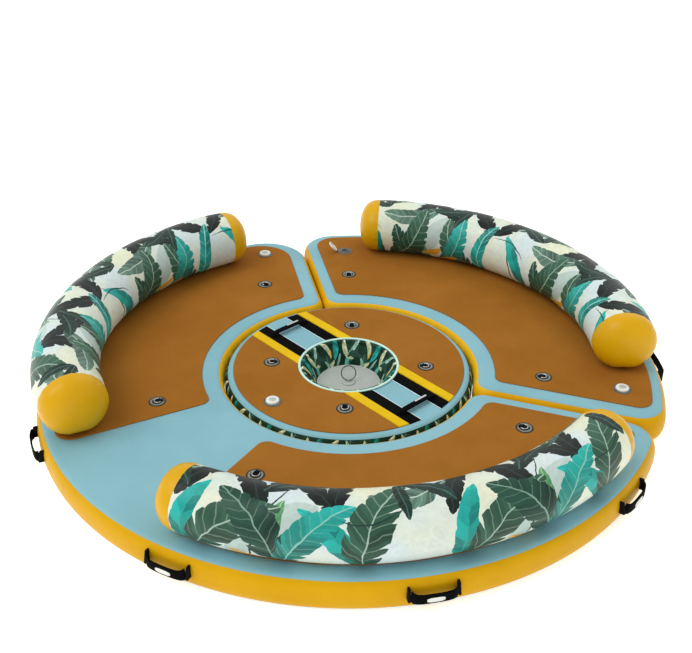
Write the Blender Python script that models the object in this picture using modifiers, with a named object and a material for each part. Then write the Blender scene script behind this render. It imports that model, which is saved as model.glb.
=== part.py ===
# Inflatable floating dock: a 3 m round lounge made of three drop-stitch modules that float side by side.
# The main module is a 240 degree C with an open entry, the side module closes it at the back,
# and a round centre module with a sunken bowl lies in the hole.
# Metres, +Z up. The origin is the middle of the underside of the whole dock.
# The entry faces -Y and the side module lies at +Y.

import math

import bmesh
import bpy
from mathutils import Matrix, Vector

# Driving dimensions in metres and degrees

# Modules. The rim's centre is seen from the hole's, its radius is over the bulged side wall.
RIMS = {
    "main": ((0.000, 0.000), 1.500),
    "side": ((0.012, 0.068), 1.4745),
}
RING_CENTER = (0.005, -0.041)  # of the hole, from the middle of the dock's box
DECK_THICKNESS = 0.150
WALL_BULGE = 0.018
WALL_LIP = 0.001             # the wall band where it meets the deck and the bottom
WALL_CLEARANCE = 0.0004      # between the main and the side module, which press together
HOLE_RADIUS = 0.632          # edge of the ring's deck around the centre module
HOLE_CLEARANCE = 0.004       # between the centre module's wall and the hole's
INNER_CORNER = 0.080
CENTER_TURN = 1.5            # the centre module lies a little turned in its hole
SEAT = 0.0003                # between pieces that touch

# The lines that part the main and the side module: angle and the rounding of each deck's corner
SEAMS = {
    "left": {"angle": 150.75, "main": 0.240, "side": 0.160},
    "right": {"angle": 30.0, "main": 0.130, "side": 0.120},
}

# Foam pads on the deck
PAD_THICKNESS = 0.005
PAD_INNER_BORDER = 0.085
PAD_INNER_CORNER = 0.050
ENTRY_CORNER = 0.080
ENTRY = (-104.0, -72.5)      # the bare deck where people board, from the left to the right bay
CENTER_PAD_BORDER = 0.025

# Backrests, one in each bay: each tube has a centre and a radius of its own
TUBE_FLAT = 0.010            # how far the tube is pressed flat where it is glued down
CAP_LENGTH = 0.115
BAYS = {
    "left": {
        "module": "main",
        "sides": (("left", 0.081), None),
        "rim_border": 0.052,
        "tube_center": (-0.0725, -0.0383),
        "tube_radius": 1.274,
        "tube": (169.5, 255.2),
        "half_width": 0.158,
        "half_height": 0.150,
    },
    "right": {
        "module": "main",
        "sides": (None, ("right", 0.065)),
        "rim_border": 0.085,
        "tube_center": (0.0, 0.0),
        "tube_radius": 1.330,
        "tube": (-68.75, 11.75),
        "half_width": 0.140,
        "half_height": 0.142,
    },
    "back": {
        "module": "side",
        "sides": (("right", 0.080), ("left", 0.062)),
        "rim_border": 0.052,
        "tube_center": (0.012, 0.068),
        "tube_radius": 1.282,
        "tube": (48.3, 133.55),
        "half_width": 0.158,
        "half_height": 0.150,
    },
}

# Towing rings: a steel D in a webbing loop on a round patch
PATCH_RADIUS = 0.043
PATCH_THICKNESS = 0.002
WIRE_RADIUS = 0.0025
RING_WIDTH = 0.033           # between the wire's centres
RING_SIDE = 0.010
RING_BACK = 0.012            # from the patch's centre back to the bar
RING_PLAY = 0.0006
LOOP_WIDTH = 0.024
LOOP_WEB = 0.0022
LOOP_FOOT = 0.034
RING_RADIUS = 0.950
RINGS = {"left": (168.7, 249.2), "right": (-65.3, 15.5), "back": (42.4, 139.0)}
CENTER_RING_RADIUS = 0.380
CENTER_RINGS = {"front": (-135.0, -45.0), "back": (45.0, 135.0)}

# Inflation valves: radius and angle of the place, side of the cap's leash, angle the cap rests open at
VALVES = {
    "left": (1.299, 161.5, 200.0, 0.0),
    "back_a": (1.318, 39.8, 250.0, 0.0),
    "back_b": (1.243, 140.1, 235.0, 130.0),
    "center": (0.480, -90.0, 200.0, 0.0),
}
FLANGE_RADIUS = 0.044
FLANGE_THICKNESS = 0.003
COLLAR_RADIUS = 0.027
COLLAR_HEIGHT = 0.008
WELL_RADIUS = 0.018
BARREL_RADIUS = 0.023
BARREL_DEPTH = 0.045
BARREL_CLEARANCE = 0.0006
SEAT_DEPTH = 0.028           # where the valve's seat plate lies
SEAT_PLATE = 0.004
STEM_RADIUS = 0.004
STEM_CLEARANCE = 0.0005
POPPET_RADIUS = 0.014
POPPET_THICKNESS = 0.003
BUTTON_RADIUS = 0.008
BUTTON_HEIGHT = 0.004
BUTTON_DEPTH = 0.006         # of its top under the deck pad
CAP_RADIUS = 0.032
CAP_WALL = 0.0045
CAP_TOP = 0.005
CAP_CLEARANCE = 0.0005
LEASH_REACH = 0.0415         # from the valve's centre to the leash's hinge
LEASH_WIDTH = 0.012
LEASH_PIN = 0.0015

# Carry handles round the wall
HANDLE_FIRST = -28.6
HANDLE_STEP = 40.0
HANDLE_COUNT = 9
HANDLE_HALF_SPAN = 0.093
HANDLE_REACH = 0.038
HANDLE_RISE = 0.010          # of the handles over the wall's middle
HANDLE_ROOT = 0.012
HANDLE_THICKNESS = 0.008
HANDLE_HEIGHT = 0.046
HANDLE_PIVOT = 0.006         # from the wall to the hinge line
HANDLE_PIN = 0.0045
HANDLE_ROUNDING = 3.0        # exponent of the bow's curve
LUG_WIDTH = 0.013
LUG_HEIGHT = 0.020
LUG_COVER = 0.003
LUG_CLEARANCE = 0.0008
PIN_CLEARANCE = 0.0005
LUG_ROOT = 0.012             # how deep a lug is set in the wall band

# Channel across the centre module
STRAP_INNER = 0.083
STRAP_OUTER = 0.131
BAR_OUTER = 0.182
STRAP_THICKNESS = 0.003
BAR_THICKNESS = 0.008
STRIP_CLEARANCE = 0.001
GRAB_POSITION = 0.465        # of the grab bar along the channel
GRAB_RADIUS = 0.008
GRAB_HEIGHT = 0.022          # of its middle over the deck

# Bowl in the centre module
WELL_HOLE = 0.232
BOWL_WALL = 0.004
BOWL_CLEARANCE = 0.001
BOWL_RIM = 0.245
BOWL_RIM_HEIGHT = 0.007
BOWL_FLOOR_RADIUS = 0.160
BOWL_FLOOR_Z = 0.050
BOWL_FLOOR_THICKNESS = 0.005
BOWL_LEDGE = 0.015
PLUG_RADIUS = 0.034
PLUG_HEAD = 0.006
PLUG_BARREL = 0.022
PLUG_CLEARANCE = 0.0005
PLUG_DEPTH = 0.020
PULL_RADIUS = 0.036          # of the plug's pull ring, to the wire's middle
PULL_WIRE = 0.003
PULL_LEAN = 60.0             # of the ring's plane over the floor
PULL_HEADING = 137.6
PULL_LUG = (0.008, 0.014, 0.009)
PULL_LUG_ROOT = 0.003        # how deep the lug is set in the plug's head

# How finely round shapes are drawn
ARC_STEP = 7.5
CORNER_STEP = 22.5
TUBE_SIDES = 16
TURN_STEPS = 16
BOWL_STEPS = 32

# Sizes that follow from the ones above
EDGE_OFFSET = WALL_BULGE + WALL_CLEARANCE / 2
CENTER_RADIUS = HOLE_RADIUS - 2 * WALL_BULGE - HOLE_CLEARANCE
PAD_BASE = DECK_THICKNESS + SEAT
PAD_TOP = PAD_BASE + PAD_THICKNESS
PATCH_TOP = PAD_TOP + PATCH_THICKNESS
CENTER_PAD_RADIUS = CENTER_RADIUS - CENTER_PAD_BORDER
RING_LIFT = WIRE_RADIUS + RING_PLAY + SEAT
BORE_RADIUS = WIRE_RADIUS + RING_PLAY
HANDLE_Z = DECK_THICKNESS / 2 + HANDLE_RISE

MATERIALS = {
    "deck_pvc": ((0.21, 0.48, 0.57), 0.45, 0.0),
    "wall_pvc": ((0.70, 0.38, 0.01), 0.35, 0.0),
    "print_pvc": ((0.30, 0.55, 0.45), 0.35, 0.0),
    "foam": ((0.35, 0.13, 0.03), 0.85, 0.0),
    "steel": ((0.60, 0.60, 0.62), 0.25, 1.0),
    "black_webbing": ((0.015, 0.015, 0.017), 0.70, 0.0),
    "bar_foam": ((0.85, 0.52, 0.01), 0.60, 0.0),
    "valve_plastic": ((0.12, 0.12, 0.12), 0.45, 0.0),
    "cap_plastic": ((0.80, 0.80, 0.80), 0.40, 0.0),
    "bowl_pvc": ((0.62, 0.80, 0.74), 0.40, 0.0),
    "floor_pvc": ((0.55, 0.56, 0.56), 0.45, 0.0),
}


# Scene helpers

def clear_scene():
    for obj in list(bpy.data.objects):
        bpy.data.objects.remove(obj, do_unlink=True)


def new_collection(name):
    collection = bpy.data.collections.new(name)
    bpy.context.scene.collection.children.link(collection)
    return collection


def make_materials():
    for name, (color, roughness, metallic) in MATERIALS.items():
        material = bpy.data.materials.new(name)
        material.use_nodes = True
        shader = material.node_tree.nodes["Principled BSDF"]
        shader.inputs["Base Color"].default_value = (*color, 1.0)
        shader.inputs["Roughness"].default_value = roughness
        shader.inputs["Metallic"].default_value = metallic


def place(obj, parent, local=None):
    obj.parent = parent
    obj.matrix_local = local if local else Matrix.Identity(4)
    return obj


def new_object(name, data, collection, parent=None, local=None, material=None):
    obj = bpy.data.objects.new(name, data)
    collection.objects.link(obj)
    if material and not data.materials:
        data.materials.append(bpy.data.materials[material])
    return place(obj, parent, local)


def as_mesh(obj):
    """The object's evaluated shape as a welded mesh; the object itself is removed."""
    bpy.context.view_layer.update()
    evaluated = obj.evaluated_get(bpy.context.evaluated_depsgraph_get())
    mesh = bpy.data.meshes.new_from_object(evaluated)
    mesh.transform(obj.matrix_world)
    shape = bmesh.new()
    shape.from_mesh(mesh)
    bmesh.ops.remove_doubles(shape, verts=shape.verts, dist=0.00001)
    bmesh.ops.recalc_face_normals(shape, faces=shape.faces)
    shape.to_mesh(mesh)
    shape.free()
    mesh.name = obj.name
    bpy.data.objects.remove(obj, do_unlink=True)
    return mesh


def from_bmesh(name, shape):
    mesh = bpy.data.meshes.new(name)
    shape.normal_update()
    bmesh.ops.recalc_face_normals(shape, faces=shape.faces)
    shape.to_mesh(mesh)
    shape.free()
    return mesh


def make_tool(obj):
    """A cutter, or a shape that is joined to its neighbour, is left out of renders."""
    obj.hide_render = True
    obj.display_type = "WIRE"
    return obj


def boolean(target, tool, operation):
    modifier = target.modifiers.new(f"{operation.lower()}_{tool.name}", "BOOLEAN")
    modifier.operation = operation
    modifier.solver = "EXACT"
    modifier.object = tool


def smooth(obj, angle=35.0):
    obj.data.shade_smooth()
    obj.data.set_sharp_from_angle(angle=math.radians(angle))


# Plane geometry

def polar(radius, angle):
    turn = math.radians(angle)
    return Vector((radius * math.cos(turn), radius * math.sin(turn)))


def station(radius, angle, z=0.0, middle=(0.0, 0.0)):
    """A place on the dock: local X points outward, Y along the rim and Z up."""
    x, y = polar(radius, angle) + Vector(middle)
    return Matrix.Translation((x, y, z)) @ Matrix.Rotation(math.radians(angle), 4, "Z")


def arc(center, start, end, step, clockwise=False):
    """Points from start to end round the centre."""
    first = math.atan2(start.y - center.y, start.x - center.x)
    last = math.atan2(end.y - center.y, end.x - center.x)
    sweep = (first - last if clockwise else last - first) % (2 * math.pi)
    radius = (start - center).length
    count = max(1, math.ceil(math.degrees(sweep) / step - 0.001))
    sign = -1 if clockwise else 1
    turns = [first + sign * sweep * i / count for i in range(count + 1)]
    return [center + radius * Vector((math.cos(t), math.sin(t))) for t in turns]


def circle(radius, step=ARC_STEP):
    return [polar(radius, i * step) for i in range(round(360 / step))]


def sector_side(angle, offset, inward, inner, outer, inner_corner, outer_corner, rim):
    """The centre and tangent points of one side's two rounded corners."""
    along = polar(1.0, angle)
    normal = Vector((-along.y, along.x)) * inward

    def corner(middle, radius, rounding, sign):
        reach = radius + sign * rounding
        across = offset + rounding
        aside = across - normal.dot(middle)
        center = along * (along.dot(middle) + math.sqrt(reach ** 2 - aside ** 2)) + normal * across
        on_side = center - normal * rounding
        on_arc = middle + (center - middle) * (radius / reach)
        return center, on_side, on_arc

    origin = Vector((0.0, 0.0))
    return corner(origin, inner, inner_corner, 1), corner(rim, outer, outer_corner, -1)


def rounded_sector(inner, outer, start, end, rim):
    """Outline of a ring's sector. start and end are (angle, offset, inner corner, outer corner)."""
    inside, outside = sector_side(start[0], start[1], 1, inner, outer, start[2], start[3], rim)
    far_inside, far_outside = sector_side(end[0], end[1], -1, inner, outer, end[2], end[3], rim)
    origin = Vector((0.0, 0.0))
    points = arc(inside[0], inside[2], inside[1], CORNER_STEP)
    points += arc(outside[0], outside[1], outside[2], CORNER_STEP)
    points += arc(rim, outside[2], far_outside[2], ARC_STEP)[1:-1]
    points += arc(far_outside[0], far_outside[2], far_outside[1], CORNER_STEP)
    points += arc(far_inside[0], far_inside[1], far_inside[2], CORNER_STEP)
    points += arc(origin, far_inside[2], inside[2], ARC_STEP, clockwise=True)[1:-1]
    return points


def strip(inner, outer, low, high, side):
    """Outline of a strip along X between two circles, from low to high across."""
    origin = Vector((0.0, 0.0))

    def on_circle(radius, y):
        return Vector((side * math.sqrt(radius ** 2 - y ** 2), y))

    far = arc(origin, on_circle(outer, low), on_circle(outer, high), ARC_STEP, side < 0)
    near = arc(origin, on_circle(inner, high), on_circle(inner, low), ARC_STEP, side > 0)
    return far + near


# Solids

def slab(name, outlines, base, thickness, collection):
    """A flat piece from its outline; further outlines are holes."""
    curve = bpy.data.curves.new(name, "CURVE")
    curve.dimensions = "2D"
    curve.fill_mode = "BOTH"
    curve.extrude = thickness / 2
    for outline in outlines:
        spline = curve.splines.new("POLY")
        spline.points.add(len(outline) - 1)
        for point, (x, y) in zip(spline.points, outline):
            point.co = (x, y, 0.0, 1.0)
        spline.use_cyclic_u = True
    middle = Matrix.Translation((0.0, 0.0, base + thickness / 2))
    return as_mesh(new_object(name, curve, collection, local=middle))


def swept(name, path, section, closed, collection):
    """A section, given as (outward, up), carried along a level path."""
    profile = bpy.data.curves.new(f"{name}_section", "CURVE")
    outline = profile.splines.new("POLY")
    outline.points.add(len(section) - 1)
    for point, (x, y) in zip(outline.points, section):
        point.co = (x, y, 0.0, 1.0)
    outline.use_cyclic_u = True
    guide = make_tool(new_object(f"{name}_section", profile, collection))

    curve = bpy.data.curves.new(name, "CURVE")
    curve.dimensions = "3D"
    curve.twist_mode = "Z_UP"
    curve.bevel_mode = "OBJECT"
    curve.bevel_object = guide
    curve.use_fill_caps = not closed
    spline = curve.splines.new("POLY")
    spline.points.add(len(path) - 1)
    for point, (x, y) in zip(spline.points, path):
        point.co = (x, y, 0.0, 1.0)
    spline.use_cyclic_u = closed
    mesh = as_mesh(new_object(name, curve, collection))
    bpy.data.objects.remove(guide, do_unlink=True)
    return mesh


def wire(name, points, radius, resolution, collection):
    """A closed loop of round wire."""
    curve = bpy.data.curves.new(name, "CURVE")
    curve.dimensions = "3D"
    curve.bevel_depth = radius
    curve.bevel_resolution = resolution
    spline = curve.splines.new("POLY")
    spline.points.add(len(points) - 1)
    for point, place_on in zip(spline.points, points):
        point.co = (*place_on, 1.0)
    spline.use_cyclic_u = True
    return as_mesh(new_object(name, curve, collection))


def turned(name, profile, steps, closed, collection):
    """A shape turned about Z from (radius, height) points, listed down the outer side."""
    mesh = bpy.data.meshes.new(name)
    count = len(profile)
    edges = [(i, i + 1) for i in range(count - 1)]
    if closed:
        edges.append((count - 1, 0))
    mesh.from_pydata([(r, 0.0, z) for r, z in profile], edges, [])
    obj = new_object(name, mesh, collection)
    screw = obj.modifiers.new("turn", "SCREW")
    screw.axis = "Z"
    screw.angle = math.radians(360)
    screw.steps = steps
    screw.render_steps = steps
    screw.use_merge_vertices = True
    screw.merge_threshold = 0.0001
    return as_mesh(obj)


def box(name, low, high, collection):
    shape = bmesh.new()
    bmesh.ops.create_cube(shape, size=1.0)
    size = [b - a for a, b in zip(low, high)]
    middle = [(a + b) / 2 for a, b in zip(low, high)]
    bmesh.ops.scale(shape, vec=size, verts=shape.verts)
    bmesh.ops.translate(shape, vec=middle, verts=shape.verts)
    return new_object(name, from_bmesh(name, shape), collection)


def rod(name, start, end, radius, segments, collection):
    """A cylinder between two points."""
    shape = bmesh.new()
    axis = Vector(end) - Vector(start)
    bmesh.ops.create_cone(
        shape,
        cap_ends=True,
        segments=segments,
        radius1=radius,
        radius2=radius,
        depth=axis.length,
    )
    turn = axis.to_track_quat("Z", "Y").to_matrix().to_4x4()
    middle = Matrix.Translation((Vector(start) + Vector(end)) / 2)
    bmesh.ops.transform(shape, matrix=middle @ turn, verts=shape.verts)
    return new_object(name, from_bmesh(name, shape), collection)


def joined(name, first, others, operation="UNION"):
    """One mesh from a first object and the others, which are used up."""
    for other in others:
        boolean(first, other, operation)
    mesh = as_mesh(first)
    mesh.name = name
    for other in others:
        bpy.data.objects.remove(other, do_unlink=True)
    return mesh


# Repeated pieces, each modelled once at its own origin

def handle_curve(half_span, reach):
    """The bow of a handle, from one root to the other, as (outward, along) points."""
    power = 2.0 / HANDLE_ROUNDING
    points = []
    for i in range(9):
        turn = math.pi * i / 8
        cosine = math.cos(turn)
        y = -half_span * math.copysign(abs(cosine) ** power, cosine)
        x = HANDLE_ROOT + (reach - HANDLE_ROOT) * math.sin(turn) ** power
        points.append(Vector((x - HANDLE_PIVOT, y)))
    return points


def handle_mesh(tools):
    """A carry handle, its hinge line on local Y."""
    outer = handle_curve(HANDLE_HALF_SPAN, HANDLE_REACH)
    inner = handle_curve(HANDLE_HALF_SPAN - HANDLE_THICKNESS, HANDLE_REACH - HANDLE_THICKNESS)
    bow = slab("bow", [outer + inner[::-1]], -HANDLE_HEIGHT / 2, HANDLE_HEIGHT, tools)
    grip = new_object("grip", bow, tools)
    pieces = []
    arm = HANDLE_HALF_SPAN - HANDLE_THICKNESS
    tip = HANDLE_HALF_SPAN + LUG_WIDTH - LUG_CLEARANCE
    overlap = HANDLE_ROOT - HANDLE_PIVOT + HANDLE_THICKNESS / 2
    for side in (-1, 1):
        low, high = sorted((side * (arm + SEAT), side * (HANDLE_HALF_SPAN - SEAT)))
        corner = (0.0, low, -HANDLE_PIN)
        pieces.append(box("web", corner, (overlap, high, HANDLE_PIN), tools))
        start = (0.0, side * arm, 0.0)
        pieces.append(rod("pin", start, (0.0, side * tip, 0.0), HANDLE_PIN, 8, tools))
    return joined("handle", grip, pieces)


def lug_mesh(tools):
    """A handle's two bored lugs, in the frame of the wall at the handle's middle."""
    reach = HANDLE_PIVOT + HANDLE_PIN + PIN_CLEARANCE + LUG_COVER
    lugs = []
    for side in (-1, 1):
        ends = (HANDLE_HALF_SPAN + LUG_CLEARANCE, HANDLE_HALF_SPAN + LUG_WIDTH)
        low, high = sorted(side * end for end in ends)
        lug = box("lug", (-LUG_ROOT, low, -LUG_HEIGHT / 2), (reach, high, LUG_HEIGHT / 2), tools)
        start = (HANDLE_PIVOT, low - LUG_WIDTH, 0.0)
        end = (HANDLE_PIVOT, high + LUG_WIDTH, 0.0)
        bore = rod("bore", start, end, HANDLE_PIN + PIN_CLEARANCE, 8, tools)
        lugs.append(joined("lug", lug, [bore], "DIFFERENCE"))
    return lugs


def ring_mesh(tools):
    """A steel D lying flat, its bar on local Y and its bow towards +X."""
    half = RING_WIDTH / 2
    bow = [(RING_SIDE + half * math.sin(t), half * math.cos(t)) for t in
           (math.pi * i / 8 for i in range(9))]
    points = [(0.0, half * 0.8), (WIRE_RADIUS * 0.4, half * 0.96)] + bow
    points += [(WIRE_RADIUS * 0.4, -half * 0.96), (0.0, -half * 0.8)]
    return wire("ring", [(x, y, 0.0) for x, y in points], WIRE_RADIUS, 1, tools)


def patch_mesh(tools):
    """A round patch with the webbing loop that holds a ring, from the pad's top up."""
    sunk = PAD_THICKNESS / 2
    patch = rod("patch", (0, 0, -sunk), (0, 0, PATCH_THICKNESS), PATCH_RADIUS, 20, tools)
    bar = Vector((-RING_BACK, PATCH_THICKNESS + RING_LIFT))
    outside = BORE_RADIUS + LOOP_WEB
    foot_top = PATCH_THICKNESS + LOOP_WEB / 2
    dip = math.asin((foot_top - bar.y) / outside)
    right = bar + outside * Vector((math.cos(dip), math.sin(dip)))
    left = bar + outside * Vector((-math.cos(dip), math.sin(dip)))
    half_foot = Vector((LOOP_FOOT / 2, 0.0))
    foot = Vector((-RING_BACK, foot_top))
    root = Vector((-RING_BACK, PATCH_THICKNESS / 2))
    outline = [root - half_foot, root + half_foot, foot + half_foot]
    outline += arc(bar, right, left, 2 * CORNER_STEP)
    outline.append(foot - half_foot)
    bore = [bar + point for point in circle(BORE_RADIUS, 2 * CORNER_STEP)]
    loop = slab("loop", [outline, bore], -LOOP_WIDTH / 2, LOOP_WIDTH, tools)
    loop.transform(Matrix.Rotation(math.radians(90), 4, "X"))
    return joined("patch", patch, [new_object("loop", loop, tools)])


def valve_body_mesh(tools):
    """The valve's flange, collar and barrel, from the pad's top."""
    plate_top = -SEAT_DEPTH
    plate_bottom = -SEAT_DEPTH - SEAT_PLATE
    bore = STEM_RADIUS + STEM_CLEARANCE
    profile = [
        (WELL_RADIUS, COLLAR_HEIGHT),
        (COLLAR_RADIUS, COLLAR_HEIGHT),
        (COLLAR_RADIUS, FLANGE_THICKNESS),
        (FLANGE_RADIUS, FLANGE_THICKNESS),
        (FLANGE_RADIUS, SEAT),
        (BARREL_RADIUS, SEAT),
        (BARREL_RADIUS, -BARREL_DEPTH),
        (WELL_RADIUS, -BARREL_DEPTH),
        (WELL_RADIUS, plate_bottom),
        (bore, plate_bottom),
        (bore, plate_top),
        (WELL_RADIUS, plate_top),
    ]
    return turned("valve_body", profile, TURN_STEPS, True, tools)


def valve_stem_mesh(tools):
    """Push button, stem and poppet; the poppet closes the seat plate from below."""
    poppet_top = -SEAT_DEPTH - SEAT_PLATE - SEAT
    profile = [
        (0.0, -BUTTON_DEPTH),
        (BUTTON_RADIUS, -BUTTON_DEPTH),
        (BUTTON_RADIUS, -BUTTON_DEPTH - BUTTON_HEIGHT),
        (STEM_RADIUS, -BUTTON_DEPTH - BUTTON_HEIGHT),
        (STEM_RADIUS, poppet_top),
        (POPPET_RADIUS, poppet_top),
        (POPPET_RADIUS, poppet_top - POPPET_THICKNESS),
        (0.0, poppet_top - POPPET_THICKNESS),
    ]
    return turned("valve_stem", profile, TURN_STEPS, False, tools)


def valve_cap_mesh(tools):
    """A cap over the collar, with its leash; the leash's hinge is on local Y."""
    low = FLANGE_THICKNESS + SEAT
    inside = COLLAR_HEIGHT + SEAT
    bore = COLLAR_RADIUS + CAP_CLEARANCE
    profile = [
        (0.0, inside + CAP_TOP),
        (CAP_RADIUS - CAP_TOP / 2, inside + CAP_TOP),
        (CAP_RADIUS, inside + CAP_TOP / 2),
        (CAP_RADIUS, low),
        (bore, low),
        (bore, inside),
        (0.0, inside),
    ]
    cap = new_object("cap", turned("cap", profile, TURN_STEPS, False, tools), tools)
    pin_z = low + LEASH_PIN
    half = LEASH_WIDTH / 2
    corner = (CAP_RADIUS - CAP_WALL / 2, -half, low)
    leash = box("leash", corner, (LEASH_REACH, half, low + LEASH_PIN), tools)
    pin = rod("pin", (LEASH_REACH, -half, pin_z), (LEASH_REACH, half, pin_z), LEASH_PIN, 8, tools)
    mesh = joined("valve_cap", cap, [leash, pin])
    mesh.transform(Matrix.Translation((-LEASH_REACH, 0.0, -pin_z)))
    return mesh


def tube_section(half_width, half_height):
    """The oval of a backrest, pressed flat at the bottom, from its middle."""
    lowest = TUBE_FLAT - half_height
    points = []
    for i in range(TUBE_SIDES):
        turn = 2 * math.pi * i / TUBE_SIDES
        points.append((half_width * math.cos(turn), max(half_height * math.sin(turn), lowest)))
    return points


def tube_cap_mesh(name, half_width, half_height):
    """A rounded end of a backrest, growing along local -Y from its flat base."""
    shape = bmesh.new()
    bmesh.ops.create_uvsphere(shape, u_segments=TUBE_SIDES, v_segments=8, radius=1.0)
    geometry = shape.verts[:] + shape.edges[:] + shape.faces[:]
    bmesh.ops.bisect_plane(shape, geom=geometry, plane_co=(0, 0, 0), plane_no=(0, 0, 1),
                           dist=0.0001, clear_inner=True)
    rim = [edge for edge in shape.edges if edge.is_boundary]
    bmesh.ops.contextual_create(shape, geom=rim)
    lowest = TUBE_FLAT - half_height
    for vert in shape.verts:
        x, y, z = vert.co
        vert.co = (half_width * x, -CAP_LENGTH * z, max(half_height * y, lowest))
    return from_bmesh(name, shape)


# The three modules

def wall_section():
    """The bulged wall band, as (outward, up) points."""
    points = [(SEAT, 0.0)]
    for i in range(5):
        share = i / 4
        bulge = WALL_LIP + (WALL_BULGE - WALL_LIP) * (1 - (2 * share - 1) ** 2)
        points.append((bulge, share * DECK_THICKNESS))
    return points + [(SEAT, DECK_THICKNESS)]


def module_outline(module, first, last):
    """A module's deck, counterclockwise from its first seam to its last."""
    center, radius = RIMS[module]
    start, end = (
        (SEAMS[seam]["angle"], EDGE_OFFSET, INNER_CORNER, SEAMS[seam][module])
        for seam in (first, last)
    )
    return rounded_sector(HOLE_RADIUS, radius - WALL_BULGE, start, end, Vector(center))


def valve_place(name):
    radius, angle, leash, _ = VALVES[name]
    x, y = polar(radius, angle)
    return Matrix.Translation((x, y, PAD_TOP)) @ Matrix.Rotation(math.radians(leash), 4, "Z")


def cut_valve_hole(targets, name, parent, tools):
    hole_radius = BARREL_RADIUS + BARREL_CLEARANCE
    top = (0.0, 0.0, DECK_THICKNESS)
    bottom = (0.0, 0.0, -BARREL_DEPTH - 2 * BARREL_CLEARANCE)
    hole = make_tool(rod(f"hole_{name}", bottom, top, hole_radius, TURN_STEPS, tools))
    place(hole, parent, valve_place(name))
    for target in targets:
        boolean(target, hole, "DIFFERENCE")


def add_patches(pad, places, patch, parent, tools):
    for i, local in enumerate(places):
        tool = make_tool(new_object(f"patch_{pad.name}_{i}", patch, tools))
        place(tool, parent, local)
        boolean(pad, tool, "UNION")


def build_platform(name, outlines, parent, parts, tools):
    mesh = slab(name, outlines, 0.0, DECK_THICKNESS, tools)
    return new_object(name, mesh, parts, parent, material="deck_pvc")


def build_wall(name, outline, material, parent, parts, tools):
    mesh = swept(name, outline, wall_section(), True, tools)
    wall = new_object(name, mesh, parts, parent, material=material)
    smooth(wall)
    return wall


def build_pad(bay, parent, parts, tools):
    values = BAYS[bay]
    center, radius = RIMS[values["module"]]
    sides = []
    for side, entry in zip(values["sides"], reversed(ENTRY)):
        if side is None:
            sides.append((entry, 0.0, PAD_INNER_CORNER, ENTRY_CORNER))
        else:
            seam = SEAMS[side[0]]
            rounding = seam[values["module"]] - values["rim_border"]
            sides.append((seam["angle"], EDGE_OFFSET + side[1], PAD_INNER_CORNER, rounding))
    inner = HOLE_RADIUS + PAD_INNER_BORDER
    outer = radius - WALL_BULGE - values["rim_border"]
    outline = rounded_sector(inner, outer, *sides, Vector(center))
    mesh = slab(f"deck_pad_{bay}", [outline], PAD_BASE, PAD_THICKNESS, tools)
    return new_object(f"deck_pad_{bay}", mesh, parts, parent, material="foam")


def build_backrest(bay, parent, parts, tools):
    values = BAYS[bay]
    center = Vector(values["tube_center"])
    section = tube_section(values["half_width"], values["half_height"])
    middle = PAD_TOP + SEAT + values["half_height"] - TUBE_FLAT
    start, end = values["tube"]
    count = math.ceil((end - start) / ARC_STEP)
    path = [center + polar(values["tube_radius"], start + (end - start) * i / count)
            for i in range(count + 1)]
    mesh = swept(f"backrest_{bay}", path, section, False, tools)
    mesh.transform(Matrix.Translation((0.0, 0.0, middle)))
    tube = new_object(f"backrest_{bay}", mesh, parts, parent, material="print_pvc")
    smooth(tube)
    lean = (end - start) / count / 2
    for tag, place_on, heading in (
        ("start", path[0], start + lean),
        ("end", path[-1], end - lean + 180.0),
    ):
        name = f"backrest_cap_{bay}_{tag}"
        cap = tube_cap_mesh(name, values["half_width"], values["half_height"])
        facing = Matrix.Rotation(math.radians(heading), 4, "Z")
        seam = Matrix.Translation((*place_on, middle)) @ facing
        gap = Matrix.Translation((0.0, -SEAT, 0.0))
        smooth(new_object(name, cap, parts, parent, seam @ gap, "wall_pvc"))


def build_rings(prefix, places, mesh, parent, parts):
    shift = Matrix.Translation((-RING_BACK, 0.0, PATCH_THICKNESS + RING_LIFT))
    for i, local in enumerate(places):
        ring = new_object(f"tow_ring_{prefix}_{i + 1}", mesh, parts, parent, local @ shift, "steel")
        smooth(ring)


def build_valve(name, meshes, parent, parts):
    rest_open = VALVES[name][3]
    local = valve_place(name)
    body, stem, cap = meshes
    smooth(new_object(f"valve_body_{name}", body, parts, parent, local, "valve_plastic"))
    smooth(new_object(f"valve_stem_{name}", stem, parts, parent, local, "cap_plastic"))
    pin = Matrix.Translation((LEASH_REACH, 0.0, FLANGE_THICKNESS + SEAT + LEASH_PIN))
    lift = Matrix.Rotation(math.radians(rest_open), 4, "Y")
    smooth(new_object(f"valve_cap_{name}", cap, parts, parent, local @ pin @ lift, "cap_plastic"))


def build_handles(modules, walls, parts, tools):
    handle = handle_mesh(tools)
    lugs = lug_mesh(tools)
    count = {"main": 0, "side": 0}
    for i in range(HANDLE_COUNT):
        angle = (HANDLE_FIRST + HANDLE_STEP * i) % 360
        module = "side" if SEAMS["right"]["angle"] < angle < SEAMS["left"]["angle"] else "main"
        count[module] += 1
        name = f"handle_{module}_{count[module]}"
        center, radius = RIMS[module]
        at_wall = station(radius, angle, HANDLE_Z, center)
        pivot = Matrix.Translation((HANDLE_PIVOT, 0.0, 0.0))
        obj = new_object(name, handle, parts, modules[module], at_wall @ pivot, "black_webbing")
        smooth(obj)
        for side, lug in enumerate(lugs):
            tool = make_tool(new_object(f"lug_{name}_{side}", lug, tools))
            place(tool, modules[module], at_wall)
            boolean(walls[module], tool, "UNION")


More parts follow.
